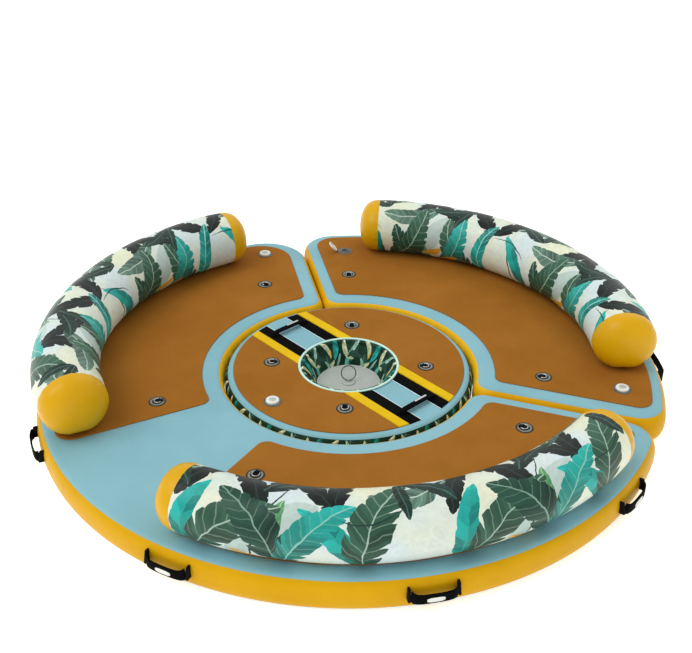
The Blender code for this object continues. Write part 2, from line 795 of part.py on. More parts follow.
def build_channel(parent, parts, tools):
    """Yellow bars beside the channel and, at each end, two straps bridged by a grab bar."""
    inner = BOWL_RIM + STRIP_CLEARANCE
    strap_base = DECK_THICKNESS + SEAT
    for end, side in (("left", -1), ("right", 1)):
        straps = []
        for row, across in (("front", -1), ("back", 1)):
            low, high = sorted((across * (STRAP_OUTER + STRIP_CLEARANCE), across * BAR_OUTER))
            outline = strip(inner, CENTER_PAD_RADIUS, low, high, side)
            name = f"channel_bar_{row}_{end}"
            mesh = slab(name, [outline], strap_base, BAR_THICKNESS, tools)
            new_object(name, mesh, parts, parent, material="bar_foam")
            low, high = sorted((across * STRAP_INNER, across * STRAP_OUTER))
            outline = strip(inner, CENTER_PAD_RADIUS, low, high, side)
            straps.append(slab("strap", [outline], strap_base, STRAP_THICKNESS, tools))
        middle = (STRAP_INNER + STRAP_OUTER) / 2
        x = side * GRAB_POSITION
        z = DECK_THICKNESS + GRAB_HEIGHT
        bar = rod("grab", (x, -middle, z), (x, middle, z), GRAB_RADIUS, 12, tools)
        pieces = [new_object("strap", strap, tools) for strap in straps]
        for across in (-1, 1):
            y = across * middle
            low = (x - GRAB_RADIUS, y - GRAB_RADIUS * 1.5, strap_base + STRAP_THICKNESS / 2)
            high = (x + GRAB_RADIUS, y + GRAB_RADIUS * 1.5, z + GRAB_RADIUS / 2)
            pieces.append(box("post", low, high, tools))
        mesh = joined(f"grab_harness_{end}", bar, pieces)
        smooth(new_object(f"grab_harness_{end}", mesh, parts, parent, material="black_webbing"))


def build_bowl(parent, parts, tools):
    top = DECK_THICKNESS + SEAT
    outer = WELL_HOLE - BOWL_CLEARANCE
    floor_top = BOWL_FLOOR_Z
    floor_bottom = floor_top - BOWL_FLOOR_THICKNESS
    ledge_top = floor_bottom - SEAT
    ledge_bottom = ledge_top - BOWL_WALL
    slope_outer = BOWL_FLOOR_RADIUS + BOWL_WALL
    profile = [
        (outer - BOWL_WALL, top + BOWL_RIM_HEIGHT * 0.6),
        (outer, top + BOWL_RIM_HEIGHT),
        (BOWL_RIM - BOWL_RIM_HEIGHT / 2, top + BOWL_RIM_HEIGHT),
        (BOWL_RIM, top + BOWL_RIM_HEIGHT / 2),
        (BOWL_RIM, top),
        (outer, top),
        (slope_outer, ledge_bottom),
        (BOWL_FLOOR_RADIUS - BOWL_LEDGE, ledge_bottom),
        (BOWL_FLOOR_RADIUS - BOWL_LEDGE, ledge_top),
        (BOWL_FLOOR_RADIUS, ledge_top),
    ]
    liner = turned("bowl_liner", profile, BOWL_STEPS, True, tools)
    smooth(new_object("bowl_liner", liner, parts, parent, material="bowl_pvc"))
    hole = PLUG_BARREL + PLUG_CLEARANCE
    edge = BOWL_FLOOR_RADIUS - BOWL_CLEARANCE
    profile = [(hole, floor_top), (edge, floor_top), (edge, floor_bottom), (hole, floor_bottom)]
    floor = turned("bowl_floor", profile, BOWL_STEPS, True, tools)
    smooth(new_object("bowl_floor", floor, parts, parent, material="floor_pvc"))
    head = SEAT + PLUG_HEAD
    profile = [
        (0.0, head),
        (PLUG_RADIUS - PLUG_HEAD / 2, head),
        (PLUG_RADIUS, head - PLUG_HEAD / 2),
        (PLUG_RADIUS, SEAT),
        (PLUG_BARREL, SEAT),
        (PLUG_BARREL, -PLUG_DEPTH),
        (0.0, -PLUG_DEPTH),
    ]
    plug = new_object("plug", turned("plug", profile, TURN_STEPS, False, tools), tools)
    heading = Matrix.Rotation(math.radians(PULL_HEADING), 4, "Z")
    width, length, height = PULL_LUG
    low = (-width / 2, -length / 2, head - PULL_LUG_ROOT)
    lug = box("lug", low, (width / 2, length / 2, head + height), tools)
    foot = Matrix.Translation((0.0, 0.0, head + height / 2))
    lean = Matrix.Rotation(math.radians(-PULL_LEAN), 4, "Y")
    loop = [foot @ lean @ Vector((PULL_RADIUS + x, y, 0.0)) for x, y in circle(PULL_RADIUS, CORNER_STEP)]
    ring = new_object("pull", wire("pull", loop, PULL_WIRE, 2, tools), tools)
    for piece in (lug, ring):
        place(piece, None, heading)
    mesh = joined("drain_plug", plug, [lug, ring])
    at_floor = Matrix.Translation((0.0, 0.0, floor_top))
    smooth(new_object("drain_plug", mesh, parts, parent, at_floor, "floor_pvc"))


def build_center_pads(parent, parts, tools):
    """Two half-moon pads beside the channel."""
    pads = {}
    origin = Vector((0.0, 0.0))
    low = BAR_OUTER + STRIP_CLEARANCE
    half = math.sqrt(CENTER_PAD_RADIUS ** 2 - low ** 2)
    notch = BOWL_RIM + STRIP_CLEARANCE
    notch_half = math.sqrt(notch ** 2 - low ** 2)
    for row, across in (("front", -1), ("back", 1)):
        start = Vector((across * half, across * low))
        end = Vector((-across * half, across * low))
        outline = arc(origin, start, end, ARC_STEP)
        into = Vector((-across * notch_half, across * low))
        out = Vector((across * notch_half, across * low))
        outline += arc(origin, into, out, ARC_STEP, clockwise=True)
        name = f"center_pad_{row}"
        mesh = slab(name, [outline], PAD_BASE, PAD_THICKNESS, tools)
        pads[row] = new_object(name, mesh, parts, parent, material="foam")
    return pads


def main():
    clear_scene()
    make_materials()
    parts = new_collection("floating_dock")
    tools = new_collection("cutters")
    outlines = {
        "main": [module_outline("main", "left", "right")],
        "side": [module_outline("side", "right", "left")],
        "center": [circle(CENTER_RADIUS), circle(WELL_HOLE)],
    }
    ring_center = Matrix.Translation((*RING_CENTER, 0.0))
    modules = {name: new_object(f"{name}_module", None, parts, None, ring_center)
               for name in outlines}
    turned_center = ring_center @ Matrix.Rotation(math.radians(CENTER_TURN), 4, "Z")
    place(modules["center"], None, turned_center)

    decks = {}
    walls = {}
    for name, outline in outlines.items():
        parent = modules[name]
        decks[name] = build_platform(f"{name}_platform", outline, parent, parts, tools)
        material = "print_pvc" if name == "center" else "wall_pvc"
        walls[name] = build_wall(f"{name}_wall", outline[0], material, parent, parts, tools)
    build_handles(modules, walls, parts, tools)

    ring = ring_mesh(tools)
    patch = patch_mesh(tools)
    valve = (valve_body_mesh(tools), valve_stem_mesh(tools), valve_cap_mesh(tools))
    pads = {}
    for bay, values in BAYS.items():
        parent = modules[values["module"]]
        pads[bay] = build_pad(bay, parent, parts, tools)
        places = [station(RING_RADIUS, angle, PAD_TOP) for angle in RINGS[bay]]
        add_patches(pads[bay], places, patch, parent, tools)
        build_rings(bay, places, ring, parent, parts)
        build_backrest(bay, parent, parts, tools)

    center = modules["center"]
    build_channel(center, parts, tools)
    build_bowl(center, parts, tools)
    center_pads = build_center_pads(center, parts, tools)
    for row, pad in center_pads.items():
        places = [station(CENTER_RING_RADIUS, angle, PAD_TOP) for angle in CENTER_RINGS[row]]
        add_patches(pad, places, patch, center, tools)
        build_rings(f"center_{row}", places, ring, center, parts)

    valve_seats = {
        "left": ("main", pads["left"]),
        "back_a": ("side", pads["back"]),
        "back_b": ("side", pads["back"]),
        "center": ("center", center_pads["front"]),
    }
    for name, (module, pad) in valve_seats.items():
        cut_valve_hole((decks[module], pad), name, modules[module], tools)
        build_valve(name, valve, modules[module], parts)


main()
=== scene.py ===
import math

import bmesh
import bpy
from mathutils import Matrix, Vector, noise


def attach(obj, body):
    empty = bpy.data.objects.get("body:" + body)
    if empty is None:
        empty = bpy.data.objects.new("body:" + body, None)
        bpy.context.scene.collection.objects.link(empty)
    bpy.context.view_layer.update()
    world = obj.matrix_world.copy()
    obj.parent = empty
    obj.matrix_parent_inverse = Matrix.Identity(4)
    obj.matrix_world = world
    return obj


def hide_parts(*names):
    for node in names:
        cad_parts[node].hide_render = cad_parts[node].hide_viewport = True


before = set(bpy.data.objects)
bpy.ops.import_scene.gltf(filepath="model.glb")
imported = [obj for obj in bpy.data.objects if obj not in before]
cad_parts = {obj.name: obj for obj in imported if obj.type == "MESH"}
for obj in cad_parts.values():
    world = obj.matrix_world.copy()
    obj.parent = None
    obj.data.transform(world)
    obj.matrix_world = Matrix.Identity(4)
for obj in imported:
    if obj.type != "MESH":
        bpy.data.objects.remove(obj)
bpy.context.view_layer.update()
scene = bpy.context.scene

# Sizes that several pieces share, in metres and degrees
dock = {
    "ringCentre": (0.005, -0.041),
    "thickness": 0.150,
    "bulge": 0.018,          # how far the wall swells
    "wallGap": 0.0004,       # between two modules' walls
    "hole": 0.632,
    "centre": 0.592,         # radius of the centre module's deck
    "centreTurn": 1.5,
    "well": 0.232,           # hole for the bowl
    "innerCorner": 0.080,
    "padBase": 0.1503,
    "padTop": 0.1553,
    "seat": 0.0003,          # glue line under what lies on the deck
}
# a rim has its middle and its radius, a seam its angle and the rounding of the modules' corners beside it
rims = {"main": ((0.000, 0.000), 1.500), "side": ((0.012, 0.068), 1.4745)}
seams = {
    "left": {"angle": 150.75, "main": 0.240, "side": 0.160},
    "right": {"angle": 30.0, "main": 0.130, "side": 0.120},
}
moduleSeams = {"main": ("left", "right"), "side": ("right", "left")}
ringShift = Matrix.Translation((*dock["ringCentre"], 0.0))
centreTurn = ringShift @ Matrix.Rotation(math.radians(dock["centreTurn"]), 4, "Z")


# Camera and studio

studio = {
    "cameraRows": (
        (0.65309, -0.38715, 0.65084, 3.26172),
        (0.75728, 0.33218, -0.56231, -2.87203),
        (0.0015, 0.8601, 0.51012, 2.9303),
        (0.0, 0.0, 0.0, 1.0),
    ),
    "lens": 54.088,
    "floorSize": 240.0,
    "floorDrop": 0.0008,
    "lampAway": 6.0,
    "sky": "#FFFFFC",
    "skyStrength": 0.86,
    "tableLight": 0.50,
    "lights": {
        # name: direction from the dock, degrees across, strength; wide and far off, so the floor is even
        "key": ((-0.35, -0.75, 1.10), 40.0, 1.25),
        "rim": ((-0.30, 0.90, 0.90), 50.0, 0.35),
    },
}


def linear(hexColour):
    parts = [int(hexColour[i:i + 2], 16) / 255 for i in (1, 3, 5)]
    return tuple(p / 12.92 if p <= 0.04045 else ((p + 0.055) / 1.055) ** 2.4 for p in parts) + (1.0,)


def feed(node, sockets):
    # links a socket, or the first output that a node shows, and sets anything else as a plain value
    for key, value in sockets.items():
        if isinstance(value, bpy.types.Node):
            value = next(output for output in value.outputs if output.enabled)
        if isinstance(value, bpy.types.NodeSocket):
            node.id_data.links.new(value, node.inputs[key])
        else:
            node.inputs[key].default_value = value


def addNode(tree, kind, sockets=None, stops=(), **settings):
    made = tree.nodes.new(kind)
    for key, value in settings.items():
        setattr(made, key, value)
    feed(made, sockets or {})
    for i, (place, hexColour) in enumerate(stops):
        marks = made.color_ramp.elements
        stop = marks[i] if i < len(marks) else marks.new(place)
        stop.position, stop.color = place, linear(hexColour)
    return made


def startMaterial(name, values):
    material = bpy.data.materials.new(name)
    material.use_nodes = True
    shader = material.node_tree.nodes["Principled BSDF"]
    feed(shader, {
        "Roughness": values["roughness"],
        "Specular IOR Level": values.get("shine", 0.25),
        "Metallic": values.get("metallic", 0.0),
    })
    return material, material.node_tree, shader


def addStudio():
    cam = bpy.data.objects.new("photoCamera", bpy.data.cameras.new("photoCamera"))
    scene.collection.objects.link(cam)
    cam.matrix_world = Matrix(studio["cameraRows"])
    cam.data.lens = studio["lens"]
    cam.data.sensor_width = 36.0
    cam.data.clip_end = 400.0
    scene.camera = cam
    for name, (direction, across, strength) in studio["lights"].items():
        lamp = bpy.data.lights.new(name, "SUN")
        lamp.angle, lamp.energy = math.radians(across), strength
        obj = bpy.data.objects.new(name, lamp)
        scene.collection.objects.link(obj)
        way = Vector(direction).normalized()
        obj.location = way * studio["lampAway"]
        obj.rotation_euler = way.to_track_quat("Z", "Y").to_euler()
    world = bpy.data.worlds.new("studioSky")
    scene.world = world
    world.use_nodes = True
    sky = world.node_tree.nodes["Background"]
    sky.inputs["Color"].default_value = linear(studio["sky"])
    sky.inputs["Strength"].default_value = studio["skyStrength"]
    scene.view_settings.view_transform = "Standard"

    half, drop = studio["floorSize"] / 2, -studio["floorDrop"]
    mesh = bpy.data.meshes.new("studioFloor")
    corners = [(-half, -half, drop), (half, -half, drop), (half, half, drop), (-half, half, drop)]
    mesh.from_pydata(corners, [], [(0, 1, 2, 3)])
    floor = bpy.data.objects.new("studioFloor", mesh)
    scene.collection.objects.link(floor)
    # Painted studio floor, rolled matt: an even near-white with a faint roller stipple
    material, tree, shader = startMaterial("rolledFloorPaint", {"roughness": 0.85})
    place = addNode(tree, "ShaderNodeTexCoord").outputs["Object"]
    stipple = addNode(tree, "ShaderNodeTexNoise", {"Vector": place, "Scale": 1.2, "Detail": 3.0})
    paint = addNode(tree, "ShaderNodeValToRGB", {"Fac": stipple}, ((0.3, "#F4F4F1"), (0.7, "#F7F7F5")))
    # a little light from below, as on a lit table, keeps shadows faint
    feed(shader, {"Base Color": paint, "Emission Color": (1.0, 1.0, 1.0, 1.0),
                  "Emission Strength": studio["tableLight"]})
    mesh.materials.append(material)


addStudio()
print("studio and camera set")


# Materials

# "threadStep" is the distance of the drop threads; "yarn", "grain" and "cloud" size the pattern, in metres
skinBlue = {
    "light": "#7FAEBA", "dark": "#76A5B1", "scuff": "#8AB6C0",
    "roughness": 0.44, "shine": 0.11, "threadStep": 0.014, "cloud": 0.45,
}
skinYellow = {
    "light": "#CD9B04", "dark": "#C39202", "scuff": "#D1A318",
    "roughness": 0.40, "shine": 0.08, "threadStep": 0.014, "cloud": 0.35,
    # painted light on the hole's wall, a lighter yellow that makes up for the shade in the gap there: its
    # colour, and how far from the middle it starts to fade and ends
    "paintedHoleLight": "#DDAB14", "paintedHoleLightReach": (0.64, 0.72),
}
capYellow = {
    "light": "#D19F04", "dark": "#C79602", "scuff": "#D1A318",
    "roughness": 0.34, "shine": 0.18, "threadStep": 0.014, "cloud": 0.35,
}
foamBrown = {
    "light": "#976224", "dark": "#8A581C", "grain": 0.0045, "cloud": 0.30,
    "roughness": 0.88, "shine": 0.06,
}
foamYellow = {
    "light": "#DAB40A", "dark": "#CCA606", "grain": 0.004, "cloud": 0.12,
    "roughness": 0.62, "shine": 0.10,
}
webbingBlack = {
    "light": "#0C0C0E", "dark": "#030304", "yarn": 0.006, "roughness": 0.80, "shine": 0.03, "sheen": 0.01,
}
stainless = {"light": "#B9BABC", "roughness": 0.28, "shine": 0.5, "metallic": 1.0}
mouldedBlack = {
    "light": "#111112", "dark": "#080809", "grain": 0.003, "cloud": 0.02,
    "roughness": 0.60, "shine": 0.06,
}
mouldedGrey = {"light": "#6A6C68", "dark": "#51534F", "grain": 0.003, "cloud": 0.02, "roughness": 0.45}
mouldedWhite = {"light": "#DDDDD7", "dark": "#D0D0C9", "grain": 0.003, "cloud": 0.03, "roughness": 0.35}
mouldedPale = {"light": "#B4BAB4", "dark": "#A2A8A2", "grain": 0.003, "cloud": 0.02, "roughness": 0.40}
patchGrey = {
    "light": "#3B3D36", "dark": "#2A2C27", "grain": 0.004, "cloud": 0.03,
    "roughness": 0.70, "shine": 0.12,
}
collarGrey = {
    "light": "#85877F", "dark": "#6E7069", "grain": 0.003, "cloud": 0.03,
    "roughness": 0.50, "shine": 0.20,
}
floorGrey = {"light": "#A8ADA9", "dark": "#9DA29E", "grain": 0.003, "cloud": 0.10, "roughness": 0.40}
mintPiping = {"light": "#C4E6DA", "dark": "#B4DACD", "grain": 0.003, "cloud": 0.08, "roughness": 0.38}
paleWelt = {"light": "#CFE4E8", "dark": "#BFD8DE", "grain": 0.003, "cloud": 0.05, "roughness": 0.40}


def threadWave(tree, place, step):
    # rises and falls along two crossed threads that are step metres apart
    turns = addNode(tree, "ShaderNodeVectorMath", {0: place, 1: (2 * math.pi / step,) * 3},
                    operation="MULTIPLY")
    wave = addNode(tree, "ShaderNodeVectorMath", {0: turns}, operation="SINE")
    ways = addNode(tree, "ShaderNodeSeparateXYZ", {"Vector": wave}).outputs
    return addNode(tree, "ShaderNodeMath", {0: ways["X"], 1: ways["Y"]}, operation="MULTIPLY")


def pvcCoatedSkin(name, values):
    # PVC-coated polyester over drop stitch, calendered and then blown up: an even satin with faint clouds,
    # light scuffs, and a dimple where each bundle of threads holds the skin.
    # The real bundles stand about 7 mm apart, here drawn twice as coarse so that they show.
    material, tree, shader = startMaterial(name, values)
    place = addNode(tree, "ShaderNodeTexCoord").outputs["Object"]
    cloud = addNode(tree, "ShaderNodeTexNoise",
                    {"Vector": place, "Scale": 1 / values["cloud"], "Detail": 4.0, "Roughness": 0.55})
    tint = addNode(tree, "ShaderNodeValToRGB", {"Fac": cloud},
                   ((0.35, values["dark"]), (0.65, values["light"])))
    rub = addNode(tree, "ShaderNodeTexNoise",
                  {"Vector": place, "Scale": 9.0, "Detail": 8.0, "Roughness": 0.7, "Distortion": 1.2})
    rubbed = addNode(tree, "ShaderNodeMapRange",
                     {"Value": rub, "From Min": 0.60, "From Max": 0.78, "To Max": 0.35})
    skin = addNode(tree, "ShaderNodeMix", {"Factor": rubbed, "A": tint, "B": linear(values["scuff"])},
                   data_type="RGBA")
    # painted light: near the hole the wall is mixed towards a lighter yellow, fading out with the distance
    # from the middle, to brighten the shade in the gap
    if "paintedHoleLightReach" in values:
        inner, outer = values["paintedHoleLightReach"]
        level = addNode(tree, "ShaderNodeVectorMath", {0: place, 1: (1.0, 1.0, 0.0)}, operation="MULTIPLY")
        reach = addNode(tree, "ShaderNodeVectorMath", {0: level}, operation="LENGTH")
        paintedHoleLightMask = addNode(tree, "ShaderNodeMapRange",
                        {"Value": reach, "From Min": inner, "From Max": outer, "To Min": 1.0, "To Max": 0.0})
        skin = addNode(tree, "ShaderNodeMix", {"Factor": paintedHoleLightMask, "A": skin, "B": linear(values["paintedHoleLight"])},
                       data_type="RGBA")
    rough = values["roughness"]
    gloss = addNode(tree, "ShaderNodeMapRange",
                    {"Value": rub, "From Min": 0.3, "From Max": 0.8,
                     "To Min": rough - 0.06, "To Max": rough + 0.10})
    dimple = threadWave(tree, place, values["threadStep"])
    relief = addNode(tree, "ShaderNodeMath", {0: dimple, 1: 0.25, 2: cloud}, operation="MULTIPLY_ADD")
    bump = addNode(tree, "ShaderNodeBump", {"Height": relief, "Strength": 0.18, "Distance": 0.002})
    feed(shader, {"Base Color": skin, "Roughness": gloss, "Normal": bump})
    return material


def grainedSolid(name, values):
    # Foam, rubber and moulded plastic: one colour through, clouded a little, with a fine cut or moulded grain
    material, tree, shader = startMaterial(name, values)
    place = addNode(tree, "ShaderNodeTexCoord").outputs["Object"]
    cloud = addNode(tree, "ShaderNodeTexNoise",
                    {"Vector": place, "Scale": 1 / values["cloud"], "Detail": 5.0, "Roughness": 0.6})
    grain = addNode(tree, "ShaderNodeTexNoise",
                    {"Vector": place, "Scale": 1 / values["grain"], "Detail": 2.0, "Roughness": 0.5})
    blend = addNode(tree, "ShaderNodeMath", {0: grain, 1: 0.35, 2: cloud}, operation="MULTIPLY_ADD")
    tint = addNode(tree, "ShaderNodeValToRGB", {"Fac": blend},
                   ((0.48, values["dark"]), (0.86, values["light"])))
    rough = values["roughness"]
    gloss = addNode(tree, "ShaderNodeMapRange",
                    {"Value": cloud, "From Min": 0.3, "From Max": 0.7,
                     "To Min": rough - 0.04, "To Max": rough + 0.05})
    bump = addNode(tree, "ShaderNodeBump", {"Height": grain, "Strength": 0.22, "Distance": 0.001})
    feed(shader, {"Base Color": tint, "Roughness": gloss, "Normal": bump})
    return material


def wovenWebbing(name, values):
    # Polypropylene webbing, woven flat: ribs of yarn across the band that catch a soft light.
    # Real yarns are 1.5 mm apart, here 6 mm so that they show. Needs UVs in metres.
    material, tree, shader = startMaterial(name, values)
    place = addNode(tree, "ShaderNodeTexCoord").outputs["UV"]
    weave = threadWave(tree, place, values["yarn"])
    lint = addNode(tree, "ShaderNodeTexNoise", {"Vector": place, "Scale": 60.0, "Detail": 4.0})
    mixed = addNode(tree, "ShaderNodeMath", {0: weave, 1: 0.22, 2: lint}, operation="MULTIPLY_ADD")
    tint = addNode(tree, "ShaderNodeValToRGB", {"Fac": mixed},
                   ((0.3, values["dark"]), (0.9, values["light"])))
    bump = addNode(tree, "ShaderNodeBump", {"Height": weave, "Strength": 0.5, "Distance": 0.001})
    feed(shader, {"Base Color": tint, "Sheen Weight": values["sheen"], "Normal": bump})
    return material


def polishedSteel(name, values):
    # Stainless wire and tube, bent and then tumbled bright: hard small glints with faint lines of polish
    material, tree, shader = startMaterial(name, values)
    place = addNode(tree, "ShaderNodeTexCoord").outputs["Object"]
    lines = addNode(tree, "ShaderNodeTexNoise", {"Vector": place, "Scale": 240.0, "Detail": 3.0})
    rough = values["roughness"]
    gloss = addNode(tree, "ShaderNodeMapRange",
                    {"Value": lines, "To Min": rough - 0.08, "To Max": rough + 0.10})
    feed(shader, {"Base Color": linear(values["light"]), "Roughness": gloss})
    return material


# The leaf print. One group lays one leaf over what is under it; the prints are lists of leaves.

printTile = 1.0  # metres along the tube before the design comes again


def makeLeafStamp():
    tree = bpy.data.node_groups.new("leafStamp", "ShaderNodeTree")
    sockets = {
        "Uv": "Vector", "Under": "Color", "Base": "Vector", "Turn": "Float", "Length": "Float",
        "Width": "Float", "Bend": "Float", "Notch": "Float", "Veins": "Float",
        "Root": "Color", "Tip": "Color", "Line": "Color",
    }
    for label, kind in sockets.items():
        tree.interface.new_socket(name=label, in_out="INPUT", socket_type=f"NodeSocket{kind}")
    tree.interface.new_socket(name="Colour", in_out="OUTPUT", socket_type="NodeSocketColor")
    tree.interface.new_socket(name="Uv", in_out="OUTPUT", socket_type="NodeSocketVector")
    given = addNode(tree, "NodeGroupInput").outputs
    sums, ranges, layers = "ShaderNodeMath", "ShaderNodeMapRange", "ShaderNodeMix"

    # the leaf's own frame: along from its foot as a share of its length, and across from its bent midrib
    away = addNode(tree, "ShaderNodeVectorMath", {0: given["Uv"], 1: given["Base"]}, operation="SUBTRACT")
    split = addNode(tree, "ShaderNodeSeparateXYZ", {"Vector": away}).outputs
    near = addNode(tree, sums, {0: split["X"], 1: printTile / 2, 2: -printTile / 2}, operation="WRAP")
    flat = addNode(tree, "ShaderNodeCombineXYZ", {"X": near, "Y": split["Y"]})
    back = addNode(tree, sums, {0: given["Turn"], 1: -1.0}, operation="MULTIPLY")
    turned = addNode(tree, "ShaderNodeVectorRotate", {"Vector": flat, "Angle": back}, rotation_type="Z_AXIS")
    local = addNode(tree, "ShaderNodeSeparateXYZ", {"Vector": turned}).outputs
    share = addNode(tree, sums, {0: local["X"], 1: given["Length"]}, operation="DIVIDE")
    rest = addNode(tree, sums, {0: 1.0, 1: share}, operation="SUBTRACT")
    product = addNode(tree, sums, {0: share, 1: rest}, operation="MULTIPLY")
    arch = addNode(tree, sums, {0: product, 1: 4.0}, operation="MULTIPLY")
    lifted = addNode(tree, sums, {0: arch, 1: given["Bend"]}, operation="MULTIPLY")
    across = addNode(tree, sums, {0: local["Y"], 1: lifted}, operation="SUBTRACT")
    aside = addNode(tree, sums, {0: across}, operation="ABSOLUTE")

    # side veins run forward from the midrib and cut the edge where the leaf is torn
    sweep = addNode(tree, sums, {0: aside, 1: given["Length"]}, operation="DIVIDE")
    along = addNode(tree, sums, {0: sweep, 1: -0.8, 2: share}, operation="MULTIPLY_ADD")
    count = addNode(tree, sums, {0: along, 1: given["Veins"]}, operation="MULTIPLY")
    saw = addNode(tree, sums, {0: count, 1: 0.5}, operation="PINGPONG")
    cut = addNode(tree, ranges,
                  {"Value": saw, "From Min": 0.0, "From Max": 0.22, "To Min": 1.0, "To Max": 0.0})
    vein = addNode(tree, sums, {0: count}, operation="ROUND")
    side = addNode(tree, sums, {0: across, 1: 0.0}, operation="GREATER_THAN")
    mark = addNode(tree, sums, {0: side, 1: 17.3, 2: vein}, operation="MULTIPLY_ADD")
    luck = addNode(tree, "ShaderNodeTexWhiteNoise", {"W": mark}, noise_dimensions="1D")
    torn = addNode(tree, sums, {0: luck, 1: 1.7}, operation="POWER")
    deep = addNode(tree, sums, {0: cut, 1: torn}, operation="MULTIPLY")
    loss = addNode(tree, sums, {0: deep, 1: given["Notch"]}, operation="MULTIPLY")
    keep = addNode(tree, sums, {0: 1.0, 1: loss}, operation="SUBTRACT")
    full = addNode(tree, sums, {0: arch, 1: 0.62}, operation="POWER")
    half = addNode(tree, sums, {0: full, 1: given["Width"]}, operation="MULTIPLY")
    edge = addNode(tree, sums, {0: half, 1: keep}, operation="MULTIPLY")
    inside = addNode(tree, sums, {0: aside, 1: edge}, operation="LESS_THAN")
    started = addNode(tree, sums, {0: arch, 1: 0.0}, operation="GREATER_THAN")
    mask = addNode(tree, sums, {0: inside, 1: started}, operation="MULTIPLY")

    # midrib and veins are drawn in the line's colour; the halves and the strips between tears differ in tone
    midrib = addNode(tree, ranges,
                     {"Value": aside, "From Min": 0.0015, "From Max": 0.0040, "To Min": 1.0, "To Max": 0.0})
    ribs = addNode(tree, ranges,
                   {"Value": saw, "From Min": 0.02, "From Max": 0.08, "To Min": 0.34, "To Max": 0.0})
    lines = addNode(tree, sums, {0: midrib, 1: ribs}, operation="MAXIMUM")
    body = addNode(tree, layers, {"Factor": share, "A": given["Root"], "B": given["Tip"]}, data_type="RGBA")
    sideTone = addNode(tree, sums, {0: side, 1: 0.26, 2: 0.70}, operation="MULTIPLY_ADD")
    stripTone = addNode(tree, sums, {0: luck, 1: 0.55, 2: 0.70}, operation="MULTIPLY_ADD")
    shade = addNode(tree, sums, {0: sideTone, 1: stripTone}, operation="MULTIPLY")
    toned = addNode(tree, layers, {"Factor": 1.0, "A": body, "B": shade}, data_type="RGBA",
                    blend_type="MULTIPLY")
    veined = addNode(tree, layers, {"Factor": lines, "A": toned, "B": given["Line"]}, data_type="RGBA")
    laid = addNode(tree, layers, {"Factor": mask, "A": given["Under"], "B": veined}, data_type="RGBA")
    # The next leaf's place is made to wait for this leaf's colour, so that Cycles works them out one by one.
    # All at once they overflow the shader's stack. The print shifts by under a thousandth of a millimetre.
    handed = addNode(tree, "ShaderNodeVectorMath", {0: laid, 1: (1e-8,) * 3, 2: given["Uv"]},
                     operation="MULTIPLY_ADD")
    addNode(tree, "NodeGroupOutput", {"Colour": laid, "Uv": handed})
    return tree


leafInks = {
    # root, tip and line of each kind of leaf
    "moss": ("#234839", "#3A634E", "#9BB6A5"),
    "forest": ("#163830", "#2A5344", "#7A9B8B"),
    "sea": ("#2C5646", "#1FB4AB", "#7FB9AC"),
    "teal": ("#0F5F58", "#22BDB3", "#27998F"),
    "aqua": ("#27BDB3", "#157A71", "#8AD6CD"),
    "grey": ("#48695D", "#648676", "#AFC3B4"),
    "lime": ("#3C7A54", "#5D9F6B", "#9BC396"),
    "yellow": ("#E3AE2E", "#D29426", "#E3AE2E"),
    "dark": ("#10231F", "#1E3A33", "#3B5F52"),
    "night": ("#0A1413", "#12201D", "#20342F"),
    "stem": ("#1C3A33", "#1C3A33", "#1C3A33"),
    "pale": ("#B7CCCA", "#CAD8D2", "#A8C2BB"),
    "cream": ("#D8DDB6", "#BFCFA0", "#8EA688"),
    "mint": ("#B4DCCB", "#86BFA9", "#4F8472"),
}
